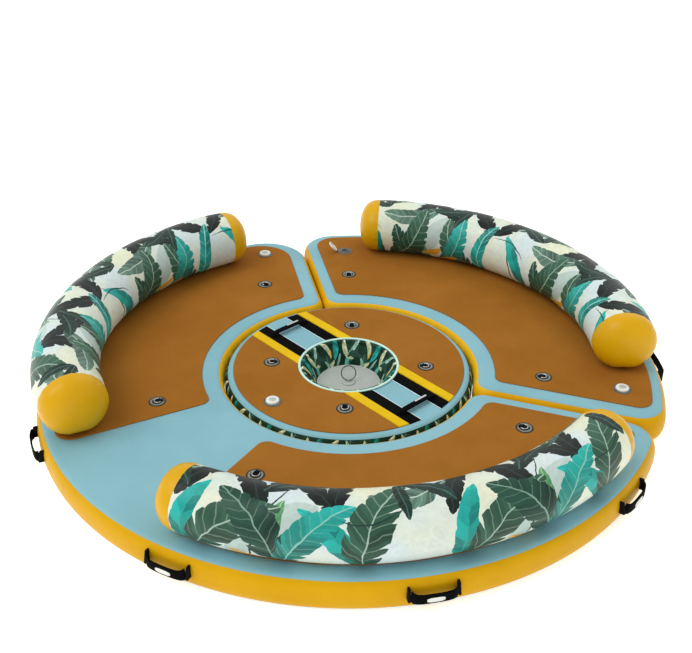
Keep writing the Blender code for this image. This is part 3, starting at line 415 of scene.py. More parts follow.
# ink, (along, around) of the leaf's foot, turn, length, half width, bend, notch, veins.
# Around is 0.25 on a tube's outer side, 0.48 at its top and 0.72 on its inner side.
tubeLeaves = (
    ("pale", (0.22, 0.12), 40, 0.42, 0.066, 0.04, 0.00, 0.0),
    ("pale", (0.76, 0.84), -136, 0.42, 0.066, -0.04, 0.00, 0.0),
    ("stem", (0.30, 0.02), 74, 0.48, 0.0045, 0.04, 0.00, 0.0),
    ("stem", (0.66, 0.95), -104, 0.46, 0.0045, 0.04, 0.00, 0.0),
    ("stem", (0.97, 0.97), -76, 0.44, 0.0045, -0.04, 0.00, 0.0),
    ("night", (0.14, 0.60), -52, 0.34, 0.050, 0.03, 0.40, 8.0),
    ("night", (0.14, 0.60), -116, 0.30, 0.044, -0.02, 0.40, 8.0),
    ("night", (0.60, 0.36), 72, 0.32, 0.048, 0.03, 0.40, 8.0),
    ("night", (0.60, 0.36), 134, 0.30, 0.042, -0.02, 0.40, 8.0),
    ("teal", (0.06, 0.04), 82, 0.40, 0.044, 0.04, 0.10, 6.0),
    ("teal", (0.70, 0.05), 126, 0.40, 0.042, -0.05, 0.10, 6.0),
    ("aqua", (0.20, 0.94), -98, 0.42, 0.044, 0.05, 0.00, 6.0),
    ("teal", (0.88, 0.93), -62, 0.40, 0.042, -0.05, 0.10, 6.0),
    ("lime", (0.40, 0.05), 88, 0.36, 0.036, 0.03, 0.00, 7.0),
    ("lime", (0.54, 0.95), -74, 0.37, 0.036, 0.03, 0.00, 7.0),
    ("grey", (0.52, 0.50), 12, 0.36, 0.052, 0.05, 0.15, 8.0),
    ("grey", (0.03, 0.50), 190, 0.32, 0.048, 0.05, 0.15, 8.0),
    ("moss", (0.06, 0.04), 44, 0.48, 0.082, 0.07, 0.60, 10.0),
    ("forest", (0.40, 0.05), 122, 0.44, 0.076, -0.07, 0.60, 10.0),
    ("sea", (0.40, 0.05), 52, 0.44, 0.062, 0.06, 0.60, 10.0),
    ("moss", (0.70, 0.05), 70, 0.48, 0.082, 0.07, 0.60, 10.0),
    ("moss", (0.20, 0.94), -56, 0.46, 0.080, 0.07, 0.60, 10.0),
    ("sea", (0.54, 0.95), -112, 0.46, 0.066, -0.07, 0.60, 10.0),
    ("forest", (0.54, 0.95), -50, 0.40, 0.068, 0.05, 0.60, 10.0),
    ("moss", (0.88, 0.93), -124, 0.48, 0.082, -0.07, 0.60, 10.0),
    ("yellow", (0.40, 0.06), 150, 0.20, 0.024, 0.01, 0.00, 0.0),
    ("yellow", (0.54, 0.93), -146, 0.20, 0.024, 0.01, 0.00, 0.0),
    ("yellow", (0.48, 0.76), 20, 0.14, 0.022, 0.02, 0.00, 0.0),
    ("dark", (0.33, 0.44), 20, 0.25, 0.036, 0.02, 0.40, 7.0),
    ("dark", (0.33, 0.44), 66, 0.20, 0.028, -0.01, 0.30, 6.0),
    ("dark", (0.84, 0.53), -36, 0.25, 0.036, 0.02, 0.40, 7.0),
    ("dark", (0.84, 0.53), -84, 0.20, 0.028, -0.01, 0.30, 6.0),
    ("stem", (0.14, 0.62), 168, 0.26, 0.0035, 0.04, 0.00, 0.0),
    ("stem", (0.60, 0.34), 10, 0.26, 0.0035, -0.04, 0.00, 0.0),
)
bowlLeaves = (
    ("forest", (0.10, 0.05), 70, 0.60, 0.120, 0.06, 0.60, 9.0),
    ("forest", (0.60, 0.95), -66, 0.60, 0.120, 0.06, 0.60, 9.0),
    ("mint", (0.02, 0.10), 52, 0.50, 0.040, 0.04, 0.10, 7.0),
    ("teal", (0.22, 0.90), -84, 0.46, 0.070, 0.05, 0.10, 6.0),
    ("cream", (0.34, 0.12), 104, 0.44, 0.052, -0.05, 0.20, 8.0),
    ("mint", (0.40, 0.84), -120, 0.42, 0.034, 0.04, 0.00, 0.0),
    ("teal", (0.58, 0.06), 84, 0.46, 0.066, 0.05, 0.10, 6.0),
    ("cream", (0.64, 0.52), 24, 0.34, 0.046, 0.04, 0.20, 8.0),
    ("mint", (0.78, 0.92), -70, 0.48, 0.040, -0.05, 0.00, 7.0),
    ("cream", (0.90, 0.10), 116, 0.40, 0.048, 0.05, 0.20, 8.0),
    ("cream", (0.12, 0.52), -30, 0.30, 0.036, 0.03, 0.00, 0.0),
    ("mint", (0.46, 0.40), 60, 0.30, 0.028, 0.02, 0.00, 0.0),
    ("dark", (0.28, 0.48), 200, 0.30, 0.046, 0.03, 0.00, 0.0),
    ("dark", (0.84, 0.46), -20, 0.30, 0.046, 0.03, 0.00, 0.0),
    ("yellow", (0.70, 0.30), 80, 0.18, 0.020, 0.01, 0.00, 0.0),
)
printOnTubes = {
    "leaves": tubeLeaves, "size": 1.0, "shift": 0.0, "wobble": 0.017, "weave": 0.005,
    "ground": "#C5D3D5", "groundWarm": "#D4D8BF", "roughness": 0.36, "shine": 0.20,
}
printOnBowl = {
    "leaves": bowlLeaves, "size": 0.26, "shift": 0.10, "wobble": 0.016, "weave": 0.005,
    "ground": "#0C251B", "groundWarm": "#183A2B", "roughness": 0.42, "shine": 0.10,
}


def printedPvc(name, values):
    # Leaf print rolled on white PVC cloth under a clear coat: flat inks with soft brushed tones, satin over
    # all, and the cloth's weave just felt through. The weave is 1 mm in life, here 5 mm. Needs UVs in metres.
    material, tree, shader = startMaterial(name, values)
    uv = addNode(tree, "ShaderNodeTexCoord").outputs["UV"]
    drawn = addNode(tree, "ShaderNodeVectorMath",
                    {0: uv, 1: (1 / values["size"],) * 3, 2: (0.0, values["shift"], 0.0)},
                    operation="MULTIPLY_ADD")
    hand = addNode(tree, "ShaderNodeTexNoise", {"Vector": drawn, "Scale": 11.0, "Detail": 3.0})
    shake = addNode(tree, "ShaderNodeVectorMath", {0: hand.outputs["Color"], 1: (0.5,) * 3},
                    operation="SUBTRACT")
    spot = addNode(tree, "ShaderNodeVectorMath", {0: shake, 1: (2 * values["wobble"],) * 3, 2: drawn},
                   operation="MULTIPLY_ADD")
    brush = addNode(tree, "ShaderNodeTexNoise",
                    {"Vector": spot, "Scale": 26.0, "Detail": 5.0, "Distortion": 1.5})
    wash = addNode(tree, "ShaderNodeTexNoise", {"Vector": drawn, "Scale": 3.0, "Detail": 2.0})
    colour = addNode(tree, "ShaderNodeValToRGB", {"Fac": wash},
                     ((0.40, values["ground"]), (0.62, values["groundWarm"])))
    for ink, foot, turn, length, width, bend, notch, veins in values["leaves"]:
        root, tip, line = (linear(tone) for tone in leafInks[ink])
        stamp = addNode(tree, "ShaderNodeGroup", node_tree=leafStamp)
        feed(stamp, {
            "Uv": spot, "Under": colour, "Base": (*foot, 0.0), "Turn": math.radians(turn), "Length": length,
            "Width": width, "Bend": bend, "Notch": notch, "Veins": veins,
            "Root": root, "Tip": tip, "Line": line,
        })
        colour, spot = stamp.outputs["Colour"], stamp.outputs["Uv"]
    tone = addNode(tree, "ShaderNodeMapRange",
                   {"Value": brush, "From Min": 0.3, "From Max": 0.7, "To Min": 0.90, "To Max": 1.04})
    brushed = addNode(tree, "ShaderNodeMix", {"Factor": 1.0, "A": colour, "B": tone},
                      data_type="RGBA", blend_type="MULTIPLY")
    rough = values["roughness"]
    gloss = addNode(tree, "ShaderNodeMapRange",
                    {"Value": wash, "To Min": rough - 0.05, "To Max": rough + 0.07})
    weave = threadWave(tree, uv, values["weave"])
    bump = addNode(tree, "ShaderNodeBump", {"Height": weave, "Strength": 0.10, "Distance": 0.0006})
    feed(shader, {"Base Color": brushed, "Roughness": gloss, "Normal": bump})
    return material


leafStamp = makeLeafStamp()
finishes = {
    # the material and the model's slot that it usually fills
    "blueSkin": (pvcCoatedSkin("pvcCoatedBlue", skinBlue), "deck_pvc"),
    "yellowSkin": (pvcCoatedSkin("pvcCoatedYellow", skinYellow), "wall_pvc"),
    "yellowCap": (pvcCoatedSkin("pvcCoatedYellowGloss", capYellow), "wall_pvc"),
    "print": (printedPvc("printedPvcLeaves", printOnTubes), "print_pvc"),
    "bowlPrint": (printedPvc("printedPvcDark", printOnBowl), "bowl_pvc"),
    "foam": (grainedSolid("cutEvaFoamBrown", foamBrown), "foam"),
    "yellowFoam": (grainedSolid("cutEvaFoamYellow", foamYellow), "bar_foam"),
    "webbing": (wovenWebbing("wovenWebbingBlack", webbingBlack), "black_webbing"),
    "steel": (polishedSteel("tumbledStainless", stainless), "steel"),
    "greyNylon": (grainedSolid("mouldedNylonGrey", mouldedGrey), "valve_plastic"),
    "whiteNylon": (grainedSolid("mouldedNylonWhite", mouldedWhite), "cap_plastic"),
    "patch": (grainedSolid("weldedPatchGrey", patchGrey), "valve_plastic"),
    "collar": (grainedSolid("mouldedCollarGrey", collarGrey), "valve_plastic"),
    "blackNylon": (grainedSolid("mouldedNylonBlack", mouldedBlack), "valve_plastic"),
    "paleNylon": (grainedSolid("mouldedNylonPale", mouldedPale), "cap_plastic"),
    "greyPvc": (grainedSolid("pvcSheetGrey", floorGrey), "floor_pvc"),
    "mint": (grainedSolid("pvcPipingMint", mintPiping), "bowl_pvc"),
    "welt": (grainedSolid("pvcWeltPale", paleWelt), "bowl_pvc"),
}
print(f"{len(finishes)} materials made, {len(tubeLeaves)} leaves in the tubes' print")


# Plane geometry, as in the model's source

def polar(radius, angle):
    turn = math.radians(angle)
    return Vector((radius * math.cos(turn), radius * math.sin(turn)))


def placed(x, y, z, angle):
    # a place on the deck, turned about the upright
    return Matrix.Translation((x, y, z)) @ Matrix.Rotation(math.radians(angle), 4, "Z")


def shifted(outline, matrix):
    return [(matrix @ Vector((p.x, p.y, 0.0))).to_2d() for p in outline]


def arc(centre, start, end, step, clockwise=False):
    first = math.atan2(start.y - centre.y, start.x - centre.x)
    last = math.atan2(end.y - centre.y, end.x - centre.x)
    sweep = (first - last if clockwise else last - first) % (2 * math.pi)
    radius = (start - centre).length
    count = max(1, math.ceil(math.degrees(sweep) / step - 0.001))
    sign = -1 if clockwise else 1
    turns = [first + sign * sweep * i / count for i in range(count + 1)]
    return [centre + radius * Vector((math.cos(t), math.sin(t))) for t in turns]


def sectorSide(angle, offset, inward, inner, outer, innerCorner, outerCorner, rim):
    along = polar(1.0, angle)
    normal = Vector((-along.y, along.x)) * inward

    def corner(middle, radius, rounding, sign):
        reach = radius + sign * rounding
        across = offset + rounding
        aside = across - normal.dot(middle)
        centre = along * (along.dot(middle) + math.sqrt(reach ** 2 - aside ** 2)) + normal * across
        return centre, centre - normal * rounding, middle + (centre - middle) * (radius / reach)

    return corner(Vector((0.0, 0.0)), inner, innerCorner, 1), corner(rim, outer, outerCorner, -1)


fine = {"arc": 2.0, "corner": 7.5, "notch": 4.0, "strip": 1.5}  # degrees between points


def roundedSector(inner, outer, start, end, rim):
    near, far = sectorSide(start[0], start[1], 1, inner, outer, start[2], start[3], rim)
    lastNear, lastFar = sectorSide(end[0], end[1], -1, inner, outer, end[2], end[3], rim)
    points = arc(near[0], near[2], near[1], fine["corner"])
    points += arc(far[0], far[1], far[2], fine["corner"])
    points += arc(rim, far[2], lastFar[2], fine["arc"])[1:-1]
    points += arc(lastFar[0], lastFar[2], lastFar[1], fine["corner"])
    points += arc(lastNear[0], lastNear[1], lastNear[2], fine["corner"])
    points += arc(Vector((0.0, 0.0)), lastNear[2], near[2], fine["arc"], clockwise=True)[1:-1]
    return points


# Mesh building

def addPiece(name, mesh, body, finish, nodes=(), local=None):
    obj = bpy.data.objects.new(name, mesh)
    scene.collection.objects.link(obj)
    obj.data.materials.clear()
    material, usualSlot = finishes[finish]
    obj.data.materials.append(material)
    if local:
        obj.matrix_world = local
    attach(obj, body)
    if nodes:
        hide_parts(*nodes)
    return obj


def finishMesh(shape, name, sharp=40.0):
    mesh = bpy.data.meshes.new(name)
    shape.normal_update()
    bmesh.ops.recalc_face_normals(shape, faces=shape.faces)
    shape.to_mesh(mesh)
    shape.free()
    mesh.shade_smooth()
    mesh.set_sharp_from_angle(angle=math.radians(sharp))
    return mesh


def evaluatedMesh(obj):
    bpy.context.view_layer.update()
    return bpy.data.meshes.new_from_object(obj.evaluated_get(bpy.context.evaluated_depsgraph_get()))


def pathWays(path):
    # the way that a path runs at each of its points
    last = len(path) - 1
    return [(path[min(i + 1, last)] - path[max(i - 1, 0)]).normalized() for i in range(len(path))]


def outlineNormals(outline):
    normals = []
    count = len(outline)
    for i in range(count):
        before = (outline[i] - outline[i - 1]).normalized()
        after = (outline[(i + 1) % count] - outline[i]).normalized()
        way = (before + after).normalized()
        outward = Vector((way.y, -way.x))
        normals.append(outward / max(0.5, outward.dot(Vector((before.y, -before.x)))))
    return normals


def outlineSweep(name, outline, section, capped, sharp=40.0):
    # section runs from the top's inner edge over the side to the bottom, as (outward, up)
    shape = bmesh.new()
    layer = shape.loops.layers.uv.new("UVMap")
    normals = outlineNormals(outline)
    rows = [[shape.verts.new((*(p + n * out), up)) for p, n in zip(outline, normals)] for out, up in section]
    lengths = [0.0]
    for i in range(len(outline)):
        lengths.append(lengths[-1] + (outline[(i + 1) % len(outline)] - outline[i]).length)
    depths = [0.0]
    for (a, b), (c, d) in zip(section, section[1:] + section[:1]):
        depths.append(depths[-1] + math.hypot(c - a, d - b))
    pairs = list(zip(rows, rows[1:])) if capped else list(zip(rows, rows[1:] + rows[:1]))
    for j, (upper, lower) in enumerate(pairs):
        for i in range(len(outline)):
            k = (i + 1) % len(outline)
            face = shape.faces.new((upper[i], lower[i], lower[k], upper[k]))
            for loop, (u, v) in zip(face.loops, ((i, j), (i, j + 1), (i + 1, j + 1), (i + 1, j))):
                loop[layer].uv = (lengths[u], depths[v])
    if capped:
        shape.faces.new(rows[0])
        shape.faces.new(rows[-1][::-1])
    return finishMesh(shape, name, sharp)


def lathe(name, profile, steps, closed=False, sharp=40.0):
    # profile as (radius, height); a radius of 0 closes in a point
    shape = bmesh.new()
    layer = shape.loops.layers.uv.new("UVMap")
    rows = []
    for radius, height in profile:
        if radius < 1e-6:
            rows.append([shape.verts.new((0.0, 0.0, height))] * steps)
        else:
            rows.append([shape.verts.new((*polar(radius, 360 * i / steps), height)) for i in range(steps)])
    reach = max(radius for radius, _ in profile)
    depth = 0.0
    order = list(range(len(profile))) + ([0] if closed else [])
    for a, b in zip(order, order[1:]):
        step = math.hypot(profile[b][0] - profile[a][0], profile[b][1] - profile[a][1])
        for i in range(steps):
            k = (i + 1) % steps
            corners = []
            square = ((rows[a][i], i, 0), (rows[b][i], i, 1), (rows[b][k], i + 1, 1), (rows[a][k], i + 1, 0))
            for vert, u, v in square:
                if not any(vert is seen[0] for seen in corners):
                    corners.append((vert, 2 * math.pi * reach * u / steps, depth + v * step))
            if len(corners) < 3:
                continue
            face = shape.faces.new([c[0] for c in corners])
            for loop, (_, u, v) in zip(face.loops, corners):
                loop[layer].uv = (u, v)
        depth += step
    return finishMesh(shape, name, sharp)


def sweptBand(name, path, up, outs, width, thickness, rounding=0.35):
    # a flat band with rounded edges along 3D points: up is its width's way, outs its thickness's
    shape = bmesh.new()
    layer = shape.loops.layers.uv.new("UVMap")
    sides = 16
    ring = []
    for i in range(sides):
        turn = 2 * math.pi * i / sides
        c, s = math.cos(turn), math.sin(turn)
        ring.append((math.copysign(abs(c) ** rounding, c) / 2, math.copysign(abs(s) ** 0.7, s) / 2))
    widths = width if isinstance(width, list) else [width] * len(path)
    thicks = thickness if isinstance(thickness, list) else [thickness] * len(path)
    rows = [[shape.verts.new(p + up * (a * w) + out * (b * t)) for a, b in ring]
            for p, out, w, t in zip(path, outs, widths, thicks)]
    lengths = [0.0]
    for a, b in zip(path, path[1:]):
        lengths.append(lengths[-1] + (b - a).length)
    for j, (upper, lower) in enumerate(zip(rows, rows[1:])):
        for i in range(sides):
            k = (i + 1) % sides
            face = shape.faces.new((upper[i], upper[k], lower[k], lower[i]))
            for loop, (u, v) in zip(face.loops, ((j, i), (j, i + 1), (j + 1, i + 1), (j + 1, i))):
                loop[layer].uv = (lengths[u], ring[v % sides][0] * widths[0])
    shape.faces.new(rows[0])
    shape.faces.new(rows[-1][::-1])
    return finishMesh(shape, name, 50.0)


def roundWire(name, points, radius):
    # a closed loop of wire
    curve = bpy.data.curves.new(name, "CURVE")
    curve.dimensions = "3D"
    curve.bevel_depth = radius
    curve.bevel_resolution = 3
    spline = curve.splines.new("POLY")
    spline.points.add(len(points) - 1)
    for point, place in zip(spline.points, points):
        point.co = (*place, 1.0)
    spline.use_cyclic_u = True
    obj = bpy.data.objects.new(name, curve)
    scene.collection.objects.link(obj)
    mesh = evaluatedMesh(obj)
    bpy.data.objects.remove(obj, do_unlink=True)
    shape = bmesh.new()
    shape.from_mesh(mesh)
    bmesh.ops.remove_doubles(shape, verts=shape.verts, dist=0.00001)
    return finishMesh(shape, name, 60.0)


def roundedBlock(size, middle, rounding, taper=None):
    shape = bmesh.new()
    bmesh.ops.create_cube(shape, size=1.0)
    bmesh.ops.scale(shape, vec=size, verts=shape.verts)
    for vert in shape.verts:
        if taper and vert.co.z > 0:
            taper(vert.co)
    bmesh.ops.bevel(shape, geom=shape.edges[:], offset=rounding, segments=3, affect="EDGES")
    bmesh.ops.translate(shape, vec=middle, verts=shape.verts)
    return shape


# Valves' places, needed by the decks and pads they go through

valve = {
    # name: distance from the middle, angle, leash's heading, how far the cap is open, body
    "places": {
        "left": (1.299, 161.5, 200.0, 0.0, "main_module"),
        "back_a": (1.318, 39.8, 250.0, 0.0, "side_module"),
        "back_b": (1.243, 140.1, 235.0, 130.0, "side_module"),
        "center": (0.480, -90.0, 200.0, 0.0, "center_module"),
    },
    "bore": 0.0236, "depth": 0.0462, "spare": 0.02, "steps": 48, "stemSteps": 32,
    "flange": 0.044, "flangeThickness": 0.003, "collar": 0.027, "collarHeight": 0.008,
    "well": 0.018, "barrel": 0.023, "barrelDepth": 0.045, "seatDepth": 0.028, "seatPlate": 0.004,
    "stem": 0.004, "stemPlay": 0.0005, "poppet": 0.014, "poppetThickness": 0.003,
    "button": 0.008, "buttonDepth": 0.006, "buttonHeight": 0.004,
    "cap": 0.032, "capTop": 0.005, "capPlay": 0.0005, "disc": 0.0172,
    "leashReach": 0.0415, "pin": 0.0015,
    "leash": (0.012, 0.0024),  # width, thickness
}


def valvePlace(name):
    radius, angle, leash, _, body = valve["places"][name]
    shift = centreTurn if body == "center_module" else ringShift
    return shift @ placed(*polar(radius, angle), dock["padTop"], leash)


def valveHoles(body):
    names = [name for name, row in valve["places"].items() if row[4] == body]
    return [tuple(valvePlace(name).translation[:2]) for name in names]


def boreForValves(obj, holes, low, high):
    # round holes through a deck or a pad, from low to high and a little over
    high += valve["spare"]
    cutters = []
    for i, (x, y) in enumerate(holes):
        shape = bmesh.new()
        bmesh.ops.create_cone(shape, cap_ends=True, segments=valve["steps"], radius1=valve["bore"],
                              radius2=valve["bore"], depth=high - low)
        bmesh.ops.translate(shape, vec=(x, y, (low + high) / 2), verts=shape.verts)
        mesh = bpy.data.meshes.new("bore")
        shape.to_mesh(mesh)
        shape.free()
        cutter = bpy.data.objects.new(f"bore{i}", mesh)
        scene.collection.objects.link(cutter)
        cutters.append(cutter)
        modifier = obj.modifiers.new(f"bore{i}", "BOOLEAN")
        modifier.operation, modifier.solver, modifier.object = "DIFFERENCE", "EXACT", cutter
    mesh = evaluatedMesh(obj)
    for cutter in cutters:
        bpy.data.objects.remove(cutter, do_unlink=True)
    obj.modifiers.clear()
    obj.data = mesh


# Decks: the blue skin rolls over the edge, and the yellow band closes the side

deck = {
    "roll": 0.034,           # where the deck starts to roll over, inward of its edge
    "squareness": 2.6,       # 2 is an ellipse, higher is boxier
    "turns": (90, 87, 84, 80, 76, 72, 68, 64, 58, 50, 40, 28, 14, 0),  # degrees up the roll
    "bandEdge": 62.0,        # degrees up the roll, where the yellow band ends
    "centreBandEdge": 50.0,
    "bandThickness": 0.0008,
    "underBand": 0.0011,     # how far the skin draws in under the band
    "underEdge": 2.5,        # degrees over the band's edge where it starts to
    "centreSteps": 180,
}


def rollPoint(turn):
    # the blown side wall: 0 degrees is its middle, 90 the deck and -90 the underside
    power = 2 / deck["squareness"]
    c, s = math.cos(math.radians(turn)), math.sin(math.radians(turn))
    out = -deck["roll"] + (deck["roll"] + dock["bulge"]) * abs(c) ** power
    return out, dock["thickness"] / 2 * (1 + math.copysign(abs(s) ** power, s))


def deckSection(bandEdge):
    section = []
    for turn in deck["turns"]:
        out, up = rollPoint(turn if turn < 90 else 89.99)
        section.append((out - (deck["underBand"] if turn < bandEdge + deck["underEdge"] else 0.0), up))
    return section + [(out, dock["thickness"] - up) for out, up in reversed(section[:-1])]


def bandSection(bandEdge):
    outer = [rollPoint(bandEdge * (1 - i / 14)) for i in range(29)]
    return outer + [(out - deck["bandThickness"], up) for out, up in reversed(outer)]


def placeDecks():
    top, edge = dock["thickness"], deck["bandEdge"]
    for module in ("main", "side"):
        centre, radius = rims[module]
        offset = dock["bulge"] + dock["wallGap"] / 2
        start, end = ((seams[s]["angle"], offset, dock["innerCorner"], seams[s][module])
                      for s in moduleSeams[module])
        outline = roundedSector(dock["hole"], radius - dock["bulge"], start, end, Vector(centre))
        outline = shifted(outline, ringShift)
        body = f"{module}_module"
        mesh = outlineSweep(f"{module}DeckSkin", outline, deckSection(edge), True, 30.0)
        skin = addPiece(f"{module}DeckSkin", mesh, body, "blueSkin", (f"{module}_platform",))
        boreForValves(skin, valveHoles(body), top - valve["depth"], top)
        mesh = outlineSweep(f"{module}WallBand", outline, bandSection(edge), False, 30.0)
        addPiece(f"{module}WallBand", mesh, body, "yellowSkin", (f"{module}_wall",))

    # the centre module's deck is turned, with the bowl's well through it
    well, edge, steps = dock["well"], deck["centreBandEdge"], deck["centreSteps"]
    profile = [(well, top)] + [(dock["centre"] + out, z) for out, z in deckSection(edge)] + [(well, 0.0)]
    mesh = lathe("centreDeckSkin", profile, steps, closed=True, sharp=30.0)
    skin = addPiece("centreDeckSkin", mesh, "center_module", "blueSkin", ("center_platform",), ringShift)
    hole = (ringShift.inverted() @ valvePlace("center").translation)[:2]
    boreForValves(skin, [hole], top - valve["depth"], top)
    profile = [(dock["centre"] + out, z) for out, z in bandSection(edge)]
    mesh = lathe("centreWallBand", profile, steps, closed=True, sharp=30.0)
    addPiece("centreWallBand", mesh, "center_module", "bowlPrint", ("center_wall",), ringShift)


placeDecks()
print("decks and walls done")


# Foam pads

pads = {
    # sides: the seam that a side follows and its distance from it, or None at the entry
    # rim: border to the wall
    "left": {"module": "main", "sides": (("left", 0.081), None), "rim": 0.052},
    "right": {"module": "main", "sides": (None, ("right", 0.065)), "rim": 0.085},
    "back": {"module": "side", "sides": (("right", 0.080), ("left", 0.062)), "rim": 0.052},
}
padCut = {
    "entry": (-72.5, -104.0), "entryCorner": 0.080, "innerBorder": 0.085, "innerCorner": 0.050,
    # the cut edge's profile, as (outward, down)
    "edge": ((-0.0040, 0.0), (-0.0018, 0.0003), (-0.0006, 0.0011), (0.0, 0.0024), (0.0, 0.0050)),
}
centrePad = {"border": 0.025, "low": 0.183, "notch": 0.246}


def addPad(bay, node, outline, body, bored=True):
    section = [(out, dock["padTop"] - down) for out, down in padCut["edge"]]
    mesh = outlineSweep(bay, outline, section, True, 30.0)
    pad = addPiece(bay, mesh, body, "foam", (node,))
    if bored:
        boreForValves(pad, valveHoles(body), dock["padBase"] - valve["spare"], dock["padTop"])


def placePads():
    cut = padCut
    for bay, values in pads.items():
        module = values["module"]
        centre, radius = rims[module]
        ends = []
        for side, entry in zip(values["sides"], cut["entry"]):
            if side is None:
                ends.append((entry, 0.0, cut["innerCorner"], cut["entryCorner"]))
            else:
                seam = seams[side[0]]
                offset = dock["bulge"] + dock["wallGap"] / 2 + side[1]
                ends.append((seam["angle"], offset, cut["innerCorner"], seam[module] - values["rim"]))
        outer = radius - dock["bulge"] - values["rim"]
        outline = roundedSector(dock["hole"] + cut["innerBorder"], outer, *ends, Vector(centre))
        addPad(f"foamPad_{bay}", f"deck_pad_{bay}", shifted(outline, ringShift), f"{module}_module")

    origin = Vector((0.0, 0.0))
    low = centrePad["low"]
    half, notch = (math.sqrt(radius ** 2 - low ** 2)
                   for radius in (dock["centre"] - centrePad["border"], centrePad["notch"]))
    for row, across in (("front", -1), ("back", 1)):
        y = across * low
        outline = arc(origin, Vector((across * half, y)), Vector((-across * half, y)), fine["arc"])
        outline += arc(origin, Vector((-across * notch, y)), Vector((across * notch, y)), fine["notch"], True)
        outline = shifted(outline, centreTurn)
        addPad(f"centrePad_{row}", f"center_pad_{row}", outline, "center_module", row == "front")


placePads()
print("foam pads done")


# Backrests: an inflated printed tube with a yellow dome welded in each end

backrests = {
    "left": {
        "module": "main", "centre": (-0.0725, -0.0383), "radius": 1.274, "angles": (169.5, 255.2),
        "halfWidth": 0.158, "halfHeight": 0.150, "seed": 3.1,
    },
    "right": {
        "module": "main", "centre": (0.0, 0.0), "radius": 1.330, "angles": (-68.75, 11.75),
        "halfWidth": 0.140, "halfHeight": 0.142, "seed": 7.7,
    },
    "back": {
        "module": "side", "centre": (0.012, 0.068), "radius": 1.282, "angles": (48.3, 133.55),
        "halfWidth": 0.158, "halfHeight": 0.150, "seed": 12.9,
    },
}
tube = {
    "flat": 0.010, "capLength": 0.115, "capRoundness": 2.35, "capRings": 22, "sides": 96, "step": 0.014,
    "pucker": 0.0008, "puckerReach": 0.040, "puckers": 20, "draw": 0.0026,
    "crease": 0.0022, "creaseRate": 16.0, "swell": 0.0030, "swellRate": 3.0,
}
tubeTurns = [-math.pi / 2 + 2 * math.pi * j / tube["sides"] for j in range(tube["sides"])]


def tubePoint(values, angle, turn, fromEnd):
    # one point of the skin: pulled in at the welds, creased on the inner side of the bend, a little uneven
    a, b = values["halfWidth"], values["halfHeight"]
    c, s = math.cos(turn), math.sin(turn)
    near = math.exp(-fromEnd / tube["puckerReach"])
    seed = values["seed"]
    wave = math.sin(turn * tube["puckers"] + 2.5 * noise.noise(Vector((turn * 1.5, seed, 0.0))))
    along = math.radians(angle) * values["radius"]
    inner = max(0.0, -c) ** 2
    crease = inner * max(0.0, noise.noise(Vector((along * tube["creaseRate"], s * 1.5, seed))))
    uneven = noise.noise(Vector((along * tube["swellRate"], c * 1.2 + seed, s * 1.2)))
    lift = (tube["pucker"] * wave - tube["draw"]) * near
    lift += tube["swell"] * (uneven - 0.3) - tube["crease"] * crease
    return (a + lift) * c, max((b + lift) * s, tube["flat"] - b)


def tubeMiddle(values):
    return dock["padTop"] + dock["seat"] + values["halfHeight"] - tube["flat"]


def tubeMesh(bay, values):
    centre, middle = Vector(values["centre"]), tubeMiddle(values)
    start, end = values["angles"]
    length = math.radians(end - start) * values["radius"]
    girth = math.pi * (values["halfWidth"] + values["halfHeight"])
    count, sides = math.ceil(length / tube["step"]), tube["sides"]
    shape = bmesh.new()
    layer = shape.loops.layers.uv.new("UVMap")
    rows = []
    for i in range(count + 1):
        share = i / count
        angle = start + (end - start) * share
        row = []
        for turn in tubeTurns:
            out, up = tubePoint(values, angle, turn, min(share, 1 - share) * length)
            row.append(shape.verts.new((*(centre + polar(values["radius"] + out, angle)), middle + up)))
        rows.append(row)
    for i in range(count):
        for j in range(sides):
            k = (j + 1) % sides
            face = shape.faces.new((rows[i][j], rows[i][k], rows[i + 1][k], rows[i + 1][j]))
            for loop, (u, v) in zip(face.loops, ((i, j), (i, j + 1), (i + 1, j + 1), (i + 1, j))):
                loop[layer].uv = (length * u / count, girth * v / sides)
    shape.faces.new(rows[0])
    shape.faces.new(rows[-1][::-1])
    return finishMesh(shape, f"backrestTube_{bay}", 50.0)


def capMesh(name, values, angle, atEnd):
    # a dome that goes on from the tube's own section and closes in a point
    rings, roundness, reach = tube["capRings"], tube["capRoundness"], tube["capLength"]
    shape = bmesh.new()
    rows = []
    for i in range(rings):
        t = math.sin(math.pi / 2 * i / rings)
        size = (1 - t ** roundness) ** (1 / roundness)
        row = []
        for turn in tubeTurns:
            out, up = tubePoint(values, angle, math.pi - turn if atEnd else turn, t * reach)
            up = max(up * size, tube["flat"] - values["halfHeight"])
            row.append(shape.verts.new(((-out if atEnd else out) * size, -t * reach, up)))
        rows.append(row)
    rows.append([shape.verts.new((0.0, -reach, 0.0))] * tube["sides"])
    for i in range(rings):
        for j in range(tube["sides"]):
            k = (j + 1) % tube["sides"]
            corners = [rows[i][j], rows[i][k], rows[i + 1][k]]
            if rows[i + 1][j] is not rows[i + 1][k]:
                corners.append(rows[i + 1][j])
            shape.faces.new(corners)
    shape.faces.new(rows[0][::-1])
    return finishMesh(shape, name, 50.0)


def placeBackrests():
    for bay, values in backrests.items():
        body = f"{values['module']}_module"
        piece = addPiece(f"backrestTube_{bay}", tubeMesh(bay, values), body, "print", (f"backrest_{bay}",),
                         ringShift)
        start, end = values["angles"]
        for tag, angle, heading in (("start", start, start), ("end", end, end + 180.0)):
            name = f"backrestCap_{bay}_{tag}"
            place = Vector(values["centre"]) + polar(values["radius"], angle)
            local = ringShift @ placed(*place, tubeMiddle(values), heading)
            cap = addPiece(name, capMesh(name, values, angle, tag == "end"), body, "yellowCap",
                           (f"backrest_cap_{bay}_{tag}",), local)


placeBackrests()
print("backrests done")


# Towing rings

